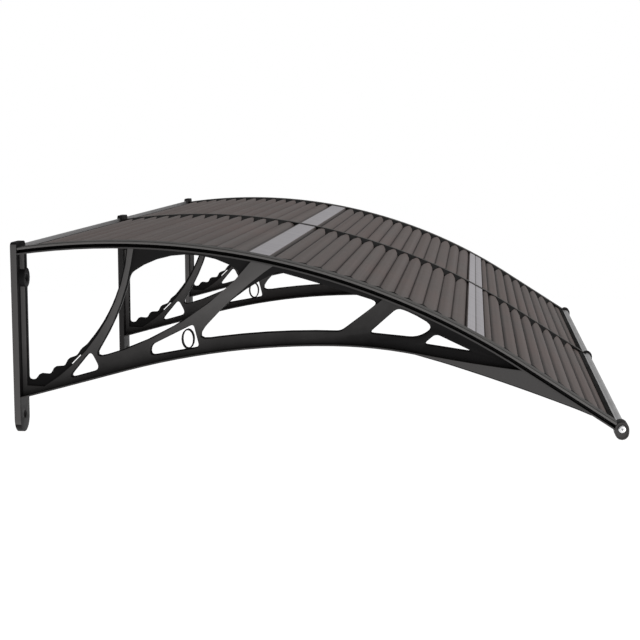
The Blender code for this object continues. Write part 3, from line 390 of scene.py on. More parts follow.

# %% [markdown]
# Painted light and shade on black plastic: the arms above the lower arm are painted grey as painted light,
# and the lower arm stays black as painted shade. The lower arm rises and falls like a parabola, so three
# places on it give its height at any reach, and the painted light grows with the height above that line.
# Towards the tip the arms lie close together under the sheet, so painted shade takes the light back there.

# %% Group: painted light and shade on the arms
ARM_LINE_PLACES = ((0.010, -0.100), (0.514, -0.004), (0.838, -0.041))
LIGHT_STARTS_ABOVE = 0.014
SHADE_FROM, SHADE_TO, SHADE_AMOUNT = 0.50, 0.80, 1.6
(reach_1, height_1), (reach_2, height_2), (reach_3, height_3) = ARM_LINE_PLACES
rise_first = (height_2 - height_1) / (reach_2 - reach_1)
rise_second = (height_3 - height_2) / (reach_3 - reach_2)
bend = (rise_second - rise_first) / (reach_3 - reach_1)
arm_light_tree, arm_light_in, arm_light_out = new_group("painted_arm_light", {"Height Range": 0.075, "Break Scale": 30.0}, ("Mask",))
arm_light_place = own_place(arm_light_tree)
arm_light_parts = wire(arm_light_tree, "ShaderNodeSeparateXYZ", {"Vector": arm_light_place}).outputs
reach = times(arm_light_tree, arm_light_parts["Y"], -1.0)
past_first = maths(arm_light_tree, "SUBTRACT", reach, reach_1)
past_second = maths(arm_light_tree, "SUBTRACT", reach, reach_2)
straight_part = times(arm_light_tree, past_first, rise_first)
bent_part = times(arm_light_tree, times(arm_light_tree, past_first, past_second), bend)
arm_height = maths(arm_light_tree, "ADD", maths(arm_light_tree, "ADD", straight_part, bent_part), height_1)
above_arm = maths(arm_light_tree, "SUBTRACT", arm_light_parts["Z"], arm_height)
by_height = maths(arm_light_tree, "DIVIDE", maths(arm_light_tree, "SUBTRACT", above_arm, LIGHT_STARTS_ABOVE),
                  arm_light_in.outputs["Height Range"])
in_shade = between(arm_light_tree, reach, SHADE_FROM, SHADE_TO, 0.0, SHADE_AMOUNT)
arm_light_noise = noise(arm_light_tree, arm_light_place, arm_light_in.outputs["Break Scale"], 4.0, 0.6)
arm_light_broken = times(arm_light_tree, maths(arm_light_tree, "SUBTRACT", arm_light_noise, 0.5), 0.5)
arm_light_sum = maths(arm_light_tree, "ADD", maths(arm_light_tree, "SUBTRACT", by_height, in_shade), arm_light_broken)
arm_light_tree.links.new(between(arm_light_tree, arm_light_sum, -0.6, 1.0), arm_light_out.inputs["Mask"])
print("group", arm_light_tree.name, "has", len(arm_light_tree.nodes), "nodes")

# %% [markdown]
# ## Materials
#
# A material starts with one plain shader. The groups then feed its colour, roughness and bump. Constants that
# are the same everywhere, such as the specular level, are set on the shader itself.


# %% Helpers for materials
def new_material(name, **constants):
    """A material with one Principled shader, its constants set by socket name with underscores for spaces."""
    material = bpy.data.materials.new(name)
    material.use_nodes = True
    shader = material.node_tree.nodes["Principled BSDF"]
    for label, value in constants.items():
        shader.inputs[label.replace("_", " ")].default_value = value
    return material, material.node_tree, shader


def use_group(tree, group, **inputs):
    """Place a node group and set its inputs by name with underscores for spaces."""
    made = wire(tree, "ShaderNodeGroup", node_tree=group)
    for label, value in inputs.items():
        made.inputs[label.replace("_", " ")].default_value = value
    return made


def toned(colour, factor):
    """A colour made darker or brighter, ready for a socket."""
    return tuple(factor * part for part in colour) + (1.0,)


def mixed(tree, share, first, second):
    """Colour between two colours, by a share."""
    made = wire(tree, "ShaderNodeMix", data_type="RGBA")
    for socket, value in ((0, share), (6, first), (7, second)):
        if isinstance(value, bpy.types.NodeSocket):
            tree.links.new(value, made.inputs[socket])
        else:
            made.inputs[socket].default_value = value
    return made.outputs[2]


def feed(tree, shader, colour, rough, height, strength, distance):
    """Feed the shader its colour and roughness, and a height as bump."""
    tree.links.new(colour, shader.inputs["Base Color"])
    tree.links.new(rough, shader.inputs["Roughness"])
    bump = wire(tree, "ShaderNodeBump", {"Height": height, "Strength": strength, "Distance": distance})
    tree.links.new(bump.outputs["Normal"], shader.inputs["Normal"])


# %% [markdown]
# The brackets are black glass-filled plastic with a fine texture. The sides of the arms are painted grey as
# painted light, more the higher they stand, and the outermost sides get painted light all along. The recesses
# keep the plain black, corners are paler as part wear and part painted highlight, and dust dulls the upper
# faces. Two attributes, written when a bracket is made, tell these faces apart: raised for the arms, and open
# for the outermost sides.


# %% Material: black moulded plastic
def moulded_black(name, colour, painted_light, paler, dust_amount):
    """Textured black plastic; the colours are the plain black, the painted light, and the paler corner."""
    material, tree, shader = new_material(name, Specular_IOR_Level=0.09)
    grain = use_group(tree, grain_tree, Grain_Scale=1500.0, Drift_Scale=8.0)
    dust = use_group(tree, dust_tree, Amount=dust_amount, Patch_Scale=26.0)
    worn_and_lit = use_group(tree, wear_and_light_tree, Amount=0.5, Break_Scale=55.0)
    arm_light_group = use_group(tree, arm_light_tree, Height_Range=0.075, Break_Scale=30.0)
    drifting = mixed(tree, grain.outputs["Drift"], (*colour, 1.0), toned(colour, 1.35))
    # Painted light: raised arm faces take the lighter colour by the arm light mask, outermost faces by their
    # share.
    on_arms = times(tree, mark(tree, "raised"), arm_light_group.outputs["Mask"])
    sunlit = maths(tree, "MAXIMUM", on_arms, mark(tree, "open"))
    with_painted_light = mixed(tree, sunlit, drifting, (*painted_light, 1.0))
    # Paler corners, part wear and part painted highlight.
    worn = mixed(tree, worn_and_lit.outputs["Mask"], with_painted_light, (*paler, 1.0))
    dusty = mixed(tree, dust.outputs["Mask"], worn, (0.17, 0.155, 0.14, 1.0))
    base_rough = between(tree, grain.outputs["Drift"], 0.0, 1.0, 0.38, 0.52)
    speckled = maths(tree, "ADD", base_rough, times(tree, grain.outputs["Speckle"], 0.08))
    rough = maths(tree, "ADD", speckled, times(tree, worn_and_lit.outputs["Mask"], -0.12))
    feed(tree, shader, dusty, rough, grain.outputs["Height"], 0.35, 0.00012)
    return material


# The second colour of each is the painted light; the paler one is for corners, part wear, part painted
# highlight.
bracket_black = moulded_black("bracket_black", colour=(0.008, 0.0075, 0.0077), painted_light=(0.100, 0.096, 0.095),
                              paler=(0.045, 0.043, 0.043), dust_amount=0.08)
cover_black = moulded_black("cover_black", colour=(0.028, 0.027, 0.026), painted_light=(0.128, 0.123, 0.12),
                            paler=(0.15, 0.145, 0.14), dust_amount=0.25)
print("materials:", bracket_black.name, cover_black.name)

# %% [markdown]
# The sheets are brown polycarbonate, thick enough to hide what is under them. Each rib is a broad flat band
# with a narrow valley beside it. A point attribute called hollow, written when the sheet is drawn, darkens
# the valleys to near black as painted shade. Faint lines run along the ribs, the way the sheet left the die,
# and the flat bands are painted a pale silver with fine streaks across them, as a painted reflection.


# %% Material: brown ribbed sheet
def sheet_brown(name, colour, valley, line_strength):
    """Brown extruded sheet with painted shade in the valleys and faint lines along the ribs."""
    material, tree, shader = new_material(name, Specular_IOR_Level=0.16)
    drawn = use_group(tree, lines_tree, Along_X=1.3, Along_Y=420.0, Along_Z=420.0)
    grain = use_group(tree, grain_tree, Grain_Scale=800.0, Drift_Scale=5.0)
    dust = use_group(tree, dust_tree, Amount=0.16, Patch_Scale=14.0)
    warm = (1.10 * colour[0], 1.02 * colour[1], 0.99 * colour[2], 1.0)
    cool = (0.90 * colour[0], 0.97 * colour[1], 0.97 * colour[2], 1.0)
    tinted = mixed(tree, grain.outputs["Drift"], cool, warm)
    lined = mixed(tree, times(tree, drawn.outputs["Lines"], line_strength), tinted, toned(colour, 0.72))
    dusty = mixed(tree, dust.outputs["Mask"], lined, (0.27, 0.25, 0.235, 1.0))
    # The valleys get near-black painted shade.
    deep = mixed(tree, mark(tree, "hollow"), dusty, (*valley, 1.0))
    base_rough = between(tree, drawn.outputs["Bands"], 0.0, 1.0, 0.36, 0.46)
    rough = maths(tree, "ADD", base_rough, times(tree, dust.outputs["Mask"], 0.5))
    feed(tree, shader, deep, rough, drawn.outputs["Lines"], 0.12, 0.0002)
    return material


def band_reflection_material(name):
    """A painted reflection on the flat bands: pale silver with streaks across the band, and painted shade in
    the groove.
    """
    material, tree, shader = new_material(name, Specular_IOR_Level=0.2)
    across = use_group(tree, lines_tree, Along_X=260.0, Along_Y=9.0, Along_Z=9.0)
    drawn = use_group(tree, lines_tree, Along_X=1.1, Along_Y=500.0, Along_Z=500.0)
    grain = use_group(tree, grain_tree, Grain_Scale=900.0, Drift_Scale=7.0)
    # The pale silver stands in for light reflected off the flat bands.
    streak = mixed(tree, across.outputs["Lines"], (0.47, 0.452, 0.478, 1.0), (0.60, 0.582, 0.608, 1.0))
    lined = mixed(tree, times(tree, drawn.outputs["Lines"], 0.22), streak, (0.38, 0.36, 0.38, 1.0))
    worn = mixed(tree, times(tree, grain.outputs["Speckle"], 0.16), lined, (0.34, 0.31, 0.30, 1.0))
    # Painted shade in the groove along the band.
    grooved = mixed(tree, mark(tree, "hollow"), worn, (0.05, 0.043, 0.04, 1.0))
    rough = between(tree, across.outputs["Bands"], 0.0, 1.0, 0.38, 0.5)
    feed(tree, shader, grooved, rough, across.outputs["Lines"], 0.1, 0.0002)
    return material


rib_brown = sheet_brown("rib_brown", colour=(0.137, 0.106, 0.099), valley=(0.005, 0.004, 0.0036),
                        line_strength=0.4)
painted_band_reflection = band_reflection_material("painted_band_reflection")
print("materials:", rib_brown.name, painted_band_reflection.name)

# %% [markdown]
# The bars are mill-finish aluminium: bright, but dulled by a thin oxide, with fine lines from the die along
# their length. The screws are plated steel and blackened steel, and the gaskets are dull black rubber.


# %% Materials: aluminium, steel and rubber
def extruded_metal(name, colour, rough_low, rough_high):
    """Extruded metal with lines along the wall."""
    material, tree, shader = new_material(name, Metallic=1.0)
    drawn = use_group(tree, lines_tree, Along_X=1.6, Along_Y=1100.0, Along_Z=1100.0)
    grain = use_group(tree, grain_tree, Grain_Scale=1200.0, Drift_Scale=11.0)
    dust = use_group(tree, dust_tree, Amount=0.35, Patch_Scale=30.0)
    dull = toned(colour, 0.80)
    lined = mixed(tree, drawn.outputs["Lines"], (*colour, 1.0), dull)
    blotched = mixed(tree, times(tree, grain.outputs["Drift"], 0.35), lined, dull)
    dusty = mixed(tree, dust.outputs["Mask"], blotched, (0.30, 0.285, 0.26, 1.0))
    base_rough = between(tree, drawn.outputs["Bands"], 0.0, 1.0, rough_low, rough_high)
    rough = maths(tree, "ADD", base_rough, times(tree, grain.outputs["Speckle"], 0.1))
    feed(tree, shader, dusty, rough, drawn.outputs["Lines"], 0.2, 0.0001)
    return material


def turned_metal(name, colour, rough):
    """Screw metal with a fine grain, dirt speckles and a darker recess."""
    material, tree, shader = new_material(name, Metallic=1.0)
    grain = use_group(tree, grain_tree, Grain_Scale=2600.0, Drift_Scale=120.0)
    worn_and_lit = use_group(tree, wear_and_light_tree, Amount=0.5, Break_Scale=400.0)
    spotted = mixed(tree, times(tree, grain.outputs["Speckle"], 0.3), (*colour, 1.0), toned(colour, 0.6))
    brighter = tuple(min(1.25 * part, 0.9) for part in colour) + (1.0,)
    # Brighter edges, part wear and part painted highlight.
    shiny = mixed(tree, worn_and_lit.outputs["Mask"], spotted, brighter)
    recess_darker = mixed(tree, mark(tree, "hollow"), shiny, (0.012, 0.011, 0.01, 1.0))
    drifting = between(tree, grain.outputs["Drift"], 0.0, 1.0, rough, rough + 0.12)
    feed(tree, shader, recess_darker, drifting, grain.outputs["Height"], 0.2, 0.00005)
    return material


def dull_rubber(name):
    """Black rubber with a matt bloom."""
    material, tree, shader = new_material(name, Specular_IOR_Level=0.04)
    drawn = use_group(tree, lines_tree, Along_X=3.0, Along_Y=700.0, Along_Z=700.0)
    grain = use_group(tree, grain_tree, Grain_Scale=1000.0, Drift_Scale=16.0)
    dust = use_group(tree, dust_tree, Amount=0.12, Patch_Scale=35.0)
    bloom = mixed(tree, times(tree, grain.outputs["Speckle"], 0.5), (0.007, 0.007, 0.007, 1.0),
                  (0.018, 0.018, 0.018, 1.0))
    dusty = mixed(tree, dust.outputs["Mask"], bloom, (0.12, 0.11, 0.1, 1.0))
    rough = between(tree, grain.outputs["Drift"], 0.0, 1.0, 0.66, 0.84)
    feed(tree, shader, dusty, rough, drawn.outputs["Lines"], 0.3, 0.0002)
    return material


bar_aluminium = extruded_metal("bar_aluminium", (0.74, 0.74, 0.745), rough_low=0.34, rough_high=0.48)
plated_steel = turned_metal("plated_steel", (0.78, 0.78, 0.79), rough=0.2)
black_steel = turned_metal("black_steel", (0.055, 0.054, 0.055), rough=0.34)
gasket_rubber = dull_rubber("gasket_rubber")
print("materials so far:", len(bpy.data.materials))

# %% [markdown]
# ## The moulded brackets
#
# A bracket is one moulding: wall plate, rail, arch, web and arms. Its shape is already right in the CAD
# model, but every corner there is knife-sharp, and real moulded corners are round and catch a thin line of
# light. So each bracket is a copy of its CAD solid. Its loose triangles are merged, flat areas are joined to
# large faces again, and a narrow bevel goes over every corner. The bevel puts its faces in a second material
# slot, which is turned into an attribute for paler edges, part wear and part painted highlight, and then
# taken away again.


# %% Round the corners of a CAD solid
def write_values(mesh, name, domain, values):
    """Store one number per point or face."""
    attribute = mesh.attributes.new(name, "FLOAT", domain)
    attribute.data.foreach_set("value", values)


def mark_bevel(piece, material):
    """Turn the second material slot's faces into the attribute for paler edges, part wear and part painted
    highlight, and leave one material.
    """
    slots = [polygon.material_index for polygon in piece.data.polygons]
    write_values(piece.data, "worn_and_lit", "FACE", [1.0 if slot == 1 else 0.0 for slot in slots])
    piece.data.polygons.foreach_set("material_index", [0] * len(slots))
    piece.data.materials.clear()
    piece.data.materials.append(material)


def round_corners(piece, material, width, angle, outer="MITER_SHARP"):
    """Bevel every corner sharper than an angle, mark the bevel's faces and give the piece its material."""
    for _ in range(2):
        piece.data.materials.append(material)
    bevel = piece.modifiers.new("corner", "BEVEL")
    bevel.width = width
    bevel.segments = 2
    bevel.limit_method = "ANGLE"
    bevel.angle_limit = math.radians(angle)
    bevel.material = 1
    bevel.miter_outer = outer
    apply_all(piece)
    mark_bevel(piece, material)


def rounded_copy(node, name, material, width):
    """A copy of a CAD solid with bevelled corners, smooth where it is round."""
    clean_slate()
    piece = bpy.data.objects.new(name, nodes[node].data.copy())
    bpy.context.scene.collection.objects.link(piece)
    only(piece)
    bpy.ops.object.mode_set(mode="EDIT")
    bpy.ops.mesh.select_all(action="SELECT")
    bpy.ops.mesh.remove_doubles(threshold=0.00002)
    bpy.ops.mesh.dissolve_limited(angle_limit=math.radians(0.6), delimit={"NORMAL"})
    bpy.ops.object.mode_set(mode="OBJECT")
    piece.data.materials.clear()
    round_corners(piece, material, width, 30.0, "MITER_ARC")
    bpy.ops.object.shade_smooth_by_angle(angle=math.radians(32.0))
    return piece


# %% [markdown]
# The sides of the arms stand 6.5 to 9 mm from a bracket's middle, and the sides of the plate and rail more
# than 20 mm. That, and a normal along the wall, is enough to tell which faces get painted light. The middle
# bracket gets less of it than the outer ones, as painted shade under the canopy.

# %% The three brackets
BRACKET_CORNER = 0.0005
ARM_SIDES = (0.0065, 0.0090)
OUTERMOST_FROM = 0.020
# Shares of painted light for arms, rail and plate; the middle bracket's are lower, as painted shade.
SIDE_LIGHT_SHARES = {"left": (1.0, 0.6, 1.0), "middle": (0.8, 0.3, 0.2), "right": (1.0, 0.6, 1.0)}


def mark_sides(piece, x, arm_light_share, rail_light_share, plate_light_share):
    """Mark the side faces of the thick arms as raised, and those of the plate, rail and nose as open."""
    raised, outermost = [], []
    for polygon in piece.data.polygons:
        beside = abs(polygon.center.x - x)
        sideways = abs(polygon.normal.x) > 0.9
        on_plate = -polygon.center.y < PLATE_THICKNESS
        # Each share says how much painted light a face gets.
        raised.append(arm_light_share if sideways and ARM_SIDES[0] < beside < ARM_SIDES[1] else 0.0)
        open_light_share = plate_light_share if on_plate else rail_light_share
        outermost.append(open_light_share if sideways and beside > OUTERMOST_FROM else 0.0)
    write_values(piece.data, "raised", "FACE", raised)
    write_values(piece.data, "open", "FACE", outermost)
    print(piece.name, "has", int(sum(raised)), "raised faces of", len(raised))


for side, x in BRACKET_PLACES.items():
    piece = rounded_copy("bracket_" + side, "moulding_" + side, bracket_black, BRACKET_CORNER)
    mark_sides(piece, x, *SIDE_LIGHT_SHARES[side])
    place_on(piece, "bracket_" + side)

# %% [markdown]
# ## The ribbed sheets
#
# Each sheet is one extrusion with ribs along the wall, bent over the brackets. A displaced plane would smear
# the narrow valleys, so the side profile is drawn instead: one edge as wide as the sheet is extruded from
# point to point along the profile, and Solidify then gives the line its thickness. The profile is a list of
# distances along the rail line with a level for each, plus how hollow the place is, for the material.

# %% Profile of the sheet
RIB_PITCH = 0.026
CREST = 0.0024
VALLEY = -0.0037
SHEET_THICKNESS = 0.0014
SHEET_START = 0.0036
FIRST_RIB_START = 0.005
FIRST_FIELD_RIBS, SECOND_FIELD_RIBS, THIRD_FIELD_RIBS = 14, 13, 8
FIRST_BAND = (0.010, 0.034, 0.004)
SECOND_BAND = (0.002, 0.031, 0.002)
NARROW_RIB = 0.015
FRONT_LEVEL = -0.0005
# The front field's valleys get wider painted shade.
FRONT_VALLEY_SHADE_REACH = 0.17
SHEET_END = RAIL_LENGTH - 0.0062
RIB_SHARES = (0.0, 0.03, 0.07, 0.14, 0.21, 0.28, 0.36, 0.5, 0.64, 0.72, 0.79, 0.86, 0.93, 0.97)
# How far up a rib's side the painted valley shade reaches, as a share; the groove's painted shade below.
VALLEY_SHADE_REACH = 0.055
SHOULDER_DROP = 0.0006
GROOVE_HALF_TOP, GROOVE_HALF_FLOOR, GROOVE_DROP, GROOVE_SHADE = 0.0015, 0.0005, 0.0007, 0.8
LAST_BEND, LAST_BEND_RISE, FRONT_START = 0.0035, 0.0026, 0.006

profile = [(SHEET_START, VALLEY, 1.0)]
band_ranges = []
valley_places = []


def add_ribs(distance, count, pitch, shade_reach=VALLEY_SHADE_REACH):
    """Ribs from a distance on; the last argument is how far up a rib's side the painted valley shade reaches,
    as a share.
    """
    for number in range(count):
        if number:
            valley_places.append(distance)
        for share in RIB_SHARES:
            side = min(share, 1.0 - share)
            rise = min(4.4 * side, 0.62 + 1.45 * (side - 0.14), 0.94 + 0.43 * (side - 0.36))
            hollow = max(1.0 - side / shade_reach, 0.0)
            profile.append((distance + share * pitch, VALLEY + rise * (CREST - VALLEY), hollow))
        distance += pitch
    return distance


def add_band(distance, rise, flat, fall, grooved):
    """A flat band between two fields of ribs, with or without a fine groove along its middle."""
    flat_start, flat_end = distance + rise, distance + rise + flat
    profile.append((distance, VALLEY, 1.0))
    profile.append((distance + 0.35 * rise, 0.5 * (VALLEY + CREST), 0.75))
    profile.append((distance + 0.8 * rise, CREST - SHOULDER_DROP, 0.1))
    profile.append((flat_start, CREST, 0.0))
    if grooved:
        middle = flat_start + flat / 2
        profile.append((middle - GROOVE_HALF_TOP, CREST, 0.0))
        profile.append((middle - GROOVE_HALF_FLOOR, CREST - GROOVE_DROP, GROOVE_SHADE))
        profile.append((middle + GROOVE_HALF_FLOOR, CREST - GROOVE_DROP, GROOVE_SHADE))
        profile.append((middle + GROOVE_HALF_TOP, CREST, 0.0))
    profile.append((flat_end, CREST, 0.0))
    band_ranges.append((flat_start, flat_end))
    return distance + (rise + flat + fall)


reached = add_ribs(FIRST_RIB_START, FIRST_FIELD_RIBS, RIB_PITCH)
reached = add_band(reached, *FIRST_BAND, grooved=False)
reached = add_ribs(reached, SECOND_FIELD_RIBS, RIB_PITCH)
reached = add_band(reached, *SECOND_BAND, grooved=True)
reached = add_ribs(reached, 1, NARROW_RIB, FRONT_VALLEY_SHADE_REACH)
reached = add_ribs(reached, THIRD_FIELD_RIBS, RIB_PITCH, FRONT_VALLEY_SHADE_REACH)
profile.append((reached, VALLEY, 1.0))
profile.append((reached + LAST_BEND, VALLEY + LAST_BEND_RISE, 0.5))
profile.append((reached + FRONT_START, FRONT_LEVEL, 0.1))
profile.append((SHEET_END, FRONT_LEVEL, 0.0))
print("profile points:", len(profile), "- bands at", [tuple(round(a, 3) for a in b) for b in band_ranges])

# %% [markdown]
# A square plane as wide as the sheet gives the first strip: its rear edge moves to the first point of the
# profile and its front edge to the second. The front edge stays selected, and each extrusion takes it on.

# %% Draw the left sheet by extruding its edge along the profile
SPINE_HALF = 0.005
CONTACT_GAP = 0.0003

left_end = BRACKET_PLACES["left"] + SPINE_HALF + CONTACT_GAP
right_end = BRACKET_PLACES["middle"] - SPINE_HALF - CONTACT_GAP
sheet_width = right_end - left_end
sheet_middle = (left_end + right_end) / 2
places = [rail_place(0.0, along, level) for along, level, _ in profile]

clean_slate()
bpy.ops.mesh.primitive_plane_add(size=sheet_width, location=(sheet_middle, 0.0, 0.0))
sheet_left = bpy.context.object
sheet_left.name = "ribbed_sheet_left"
bpy.ops.object.mode_set(mode="EDIT")
half = sheet_width / 2
pick(sheet_left, "verts", lambda vert: vert.co.y > 0.0)
bpy.ops.transform.translate(value=(0.0, places[0].y - half, places[0].z))
pick(sheet_left, "edges", lambda edge: middle_of(edge).y < 0.01 - half)
bpy.ops.transform.translate(value=(0.0, places[1].y + half, places[1].z))
for before, after in zip(places[1:], places[2:]):
    pull(after - before)
bpy.ops.object.mode_set(mode="OBJECT")
settle(sheet_left)
print("drawn:", len(sheet_left.data.vertices), "points")

# %% [markdown]
# The hollow attribute is looked up by place, because a point of the mesh and a point of the profile are the
# same place. Faces within the two flat bands take the second material. Solidify works downwards from the
# drawn line, so the top side stays where it was drawn.

# %% Give the sheet its attribute, bands and thickness
hollow_at = {(round(place.y, 5), round(place.z, 5)): point[2] for place, point in zip(places, profile)}
keys = [(round(vertex.co.y, 5), round(vertex.co.z, 5)) for vertex in sheet_left.data.vertices]
write_values(sheet_left.data, "hollow", "POINT", [hollow_at.get(key, 0.5) for key in keys])
print("points without a profile place:", sum(key not in hollow_at for key in keys))

if sum(polygon.normal.z for polygon in sheet_left.data.polygons) < 0.0:
    only(sheet_left)
    bpy.ops.object.mode_set(mode="EDIT")
    bpy.ops.mesh.select_all(action="SELECT")
    bpy.ops.mesh.flip_normals()
    bpy.ops.object.mode_set(mode="OBJECT")

sheet_left.data.materials.append(rib_brown)
sheet_left.data.materials.append(painted_band_reflection)
for polygon in sheet_left.data.polygons:
    reach, height = -polygon.center.y, polygon.center.z
    angle = math.atan2(reach - RAIL_CENTRE.x, height - RAIL_CENTRE.y)
    along = (angle - RAIL_START_ANGLE) * RAIL_RADIUS
    in_band = any(low < along < high for low, high in band_ranges)
    polygon.material_index = 1 if in_band else 0

thicken = sheet_left.modifiers.new("thickness", "SOLIDIFY")
thicken.thickness = SHEET_THICKNESS
thicken.offset = -1.0
thicken.use_rim = True
apply_all(sheet_left)
bpy.ops.object.shade_smooth_by_angle(angle=math.radians(38.0))
place_on(sheet_left, "sheet_left")

# %% [markdown]
# The right sheet has the same shape, one bracket spacing further along the wall. It is a copy with a mesh of
# its own, and the bars, gaskets, plugs and screws below are copied the same way.


# %% The right sheet is a copy with its own mesh
def shifted_copy(piece, name, shift):
    """A copy with its own mesh, moved along the wall."""
    copy = bpy.data.objects.new(name, piece.data.copy())
    copy.data.transform(Matrix.Translation((shift, 0.0, 0.0)))
    bpy.context.scene.collection.objects.link(copy)
    return copy


BRACKET_SPACING = BRACKET_PLACES["middle"] - BRACKET_PLACES["left"]
sheet_right = shifted_copy(sheet_left, "ribbed_sheet_right", BRACKET_SPACING)
place_on(sheet_right, "sheet_right")

# %% [markdown]
# ## The cover strips
#
# A cover strip clamps the side edges of the sheets. On the outer brackets it is deep on its outer side and
# has a thin lip towards the sheet; on the middle bracket only a narrow lip shows. The strip has the same
# section all along, so the section is drawn once as a small upright face and spun about the centre of the
# rail's arc. That is exact, where a curve with a bevel would twist. The last stretch is a plain extrusion.

# %% Helper: a section swept over the rail
COVER_SIDE, COVER_TOP, LIP_BOTTOM, LIP_REACH = 0.0034, 0.0042, 0.0030, 0.007
TOP_SLOPE_WIDTH = 0.0025
# Painted light on the strips: full on the sides, part on the top, none on the sloped corner.
STRIP_SIDE_LIGHT, STRIP_TOP_LIGHT = 1.0, 0.6
RAIL_HALF = 0.0245
CAP_RADIUS = 0.0112
START_LEAN = math.tan(abs(RAIL_START_ANGLE)) * COVER_TOP + CONTACT_GAP
SPIN_STEPS = 72


def stand_section(name, x_low, x_high, level_low, level_high):
    """A small upright face at the top of the rail's circle, ready to be extruded into a section."""
    clean_slate()
    height = RAIL_CENTRE.y + RAIL_RADIUS + (level_low + level_high) / 2
    middle = ((x_low + x_high) / 2, -RAIL_CENTRE.x, height)
    bpy.ops.mesh.primitive_plane_add(size=1.0, location=middle, rotation=(math.radians(90.0), 0.0, 0.0))
    piece = bpy.context.object
    piece.name = name
    piece.scale = (x_high - x_low, level_high - level_low, 1.0)
    return settle(piece)


def sweep_over_rail(piece, start, end):
    """Turn the section to the start of the line, spin it over the arc and extrude the straight run."""
    centre = Vector((0.0, -RAIL_CENTRE.x, RAIL_CENTRE.y))
    start_angle = RAIL_START_ANGLE + start / RAIL_RADIUS
    turn = Matrix.Translation(centre) @ Matrix.Rotation(start_angle, 4, "X") @ Matrix.Translation(-centre)
    piece.data.transform(turn)
    only(piece)
    bpy.ops.object.mode_set(mode="EDIT")
    bpy.ops.mesh.select_all(action="SELECT")
    bpy.ops.mesh.spin(steps=SPIN_STEPS, dupli=False, angle=END_ANGLE - start_angle, center=centre,
                      axis=(-1.0, 0.0, 0.0))
    pull(rail_place(0.0, end, 0.0) - rail_place(0.0, RAIL_ARC_LENGTH, 0.0))
    bpy.ops.mesh.select_all(action="SELECT")
    bpy.ops.mesh.remove_doubles(threshold=0.00001)
    turn_outwards()


def finish_strip(piece, material, width):
    """Bevel the long corners, mark them, give the sides and top painted light, and shade the arc smooth."""
    round_corners(piece, material, width, 20.0)
    painted_light = []
    for polygon in piece.data.polygons:
        sideways = abs(polygon.normal.x)
        painted_light.append(STRIP_SIDE_LIGHT if sideways > 0.9 else STRIP_TOP_LIGHT if sideways < 0.1 else 0.0)
    write_values(piece.data, "raised", "FACE", [0.0] * len(painted_light))
    write_values(piece.data, "open", "FACE", painted_light)
    bpy.ops.object.shade_smooth_by_angle(angle=math.radians(30.0))


# %% [markdown]
# The rail leaves the wall plate rising, so a section square to it leans back towards the wall. The strip
# therefore starts a little further along the line. It ends just behind the round cap at the tip.

# %% The middle strip: a narrow lip
STRIP_END = RAIL_LENGTH - CAP_RADIUS - CONTACT_GAP
middle_strip = stand_section("cover_middle", -LIP_REACH, LIP_REACH, LIP_BOTTOM, COVER_TOP)
sweep_over_rail(middle_strip, START_LEAN, STRIP_END)
reaches = [-vertex.co.y for vertex in middle_strip.data.vertices]
print("middle strip runs from", round(min(reaches), 4), "to", round(max(reaches), 4))
finish_strip(middle_strip, cover_black, 0.0003)
place_on(middle_strip, "cover_strip_middle")

# %% [markdown]
# The outer strip's section is an L. It starts as the upright face of the deep side. The edge of that face
# that looks at the sheet is split at the lip's underside, and the upper part is extruded over the spine to
# make the lip. The outer top corner is then cut back to a slope, which gets no painted light and so shows as
# a darker line beside the top.


# %% The outer strips: a deep side and a lip
def outer_strip(side, outward):
    """The L-shaped strip of an outer bracket; outward is -1 at the left end and 1 at the right."""
    x = BRACKET_PLACES[side]
    inner, outer = x + outward * (SPINE_HALF + CONTACT_GAP), x + outward * RAIL_HALF
    piece = stand_section("cover_" + side, min(inner, outer), max(inner, outer), 0.0, COVER_TOP)
    base = RAIL_CENTRE.y + RAIL_RADIUS
    bpy.ops.object.mode_set(mode="EDIT")
    cut_across((0.0, 0.0, base + LIP_BOTTOM), (0.0, 0.0, 1.0))
    pick(piece, "edges", lambda edge: abs(middle_of(edge).x - inner) < 1e-5
         and middle_of(edge).z > base + LIP_BOTTOM)
    lip_end = x - outward * LIP_REACH
    pull((lip_end - inner, 0.0, 0.0))
    slope_normal = Vector((outward * (COVER_TOP - COVER_SIDE), 0.0, TOP_SLOPE_WIDTH)).normalized()
    cut_across((outer, 0.0, base + COVER_SIDE), slope_normal, clear_outer=True)
    bpy.ops.object.mode_set(mode="OBJECT")
    sweep_over_rail(piece, START_LEAN, STRIP_END)
    finish_strip(piece, cover_black, 0.0004)
    place_on(piece, "cover_strip_" + side)


for side, outward in (("left", -1.0), ("right", 1.0)):
    outer_strip(side, outward)

# %% [markdown]
# ## Plugs in the valleys
#
# Under the lips of the cover strips the valleys of the sheets would let rain and wasps in. A black rubber
# plug closes each valley, and they show as a row of dark teeth along the rails. Their long tapered ends are
# a dark shape standing in for the shade under the strips. One plug is a cube, cut three times across, whose
# lower parts are drawn in to fit between two ribs. Its end away from the strip runs out to a low point in the
# valley: that end is drawn in and pressed down. The plug is copied into every valley and leaned to the slope
# of the rail there.

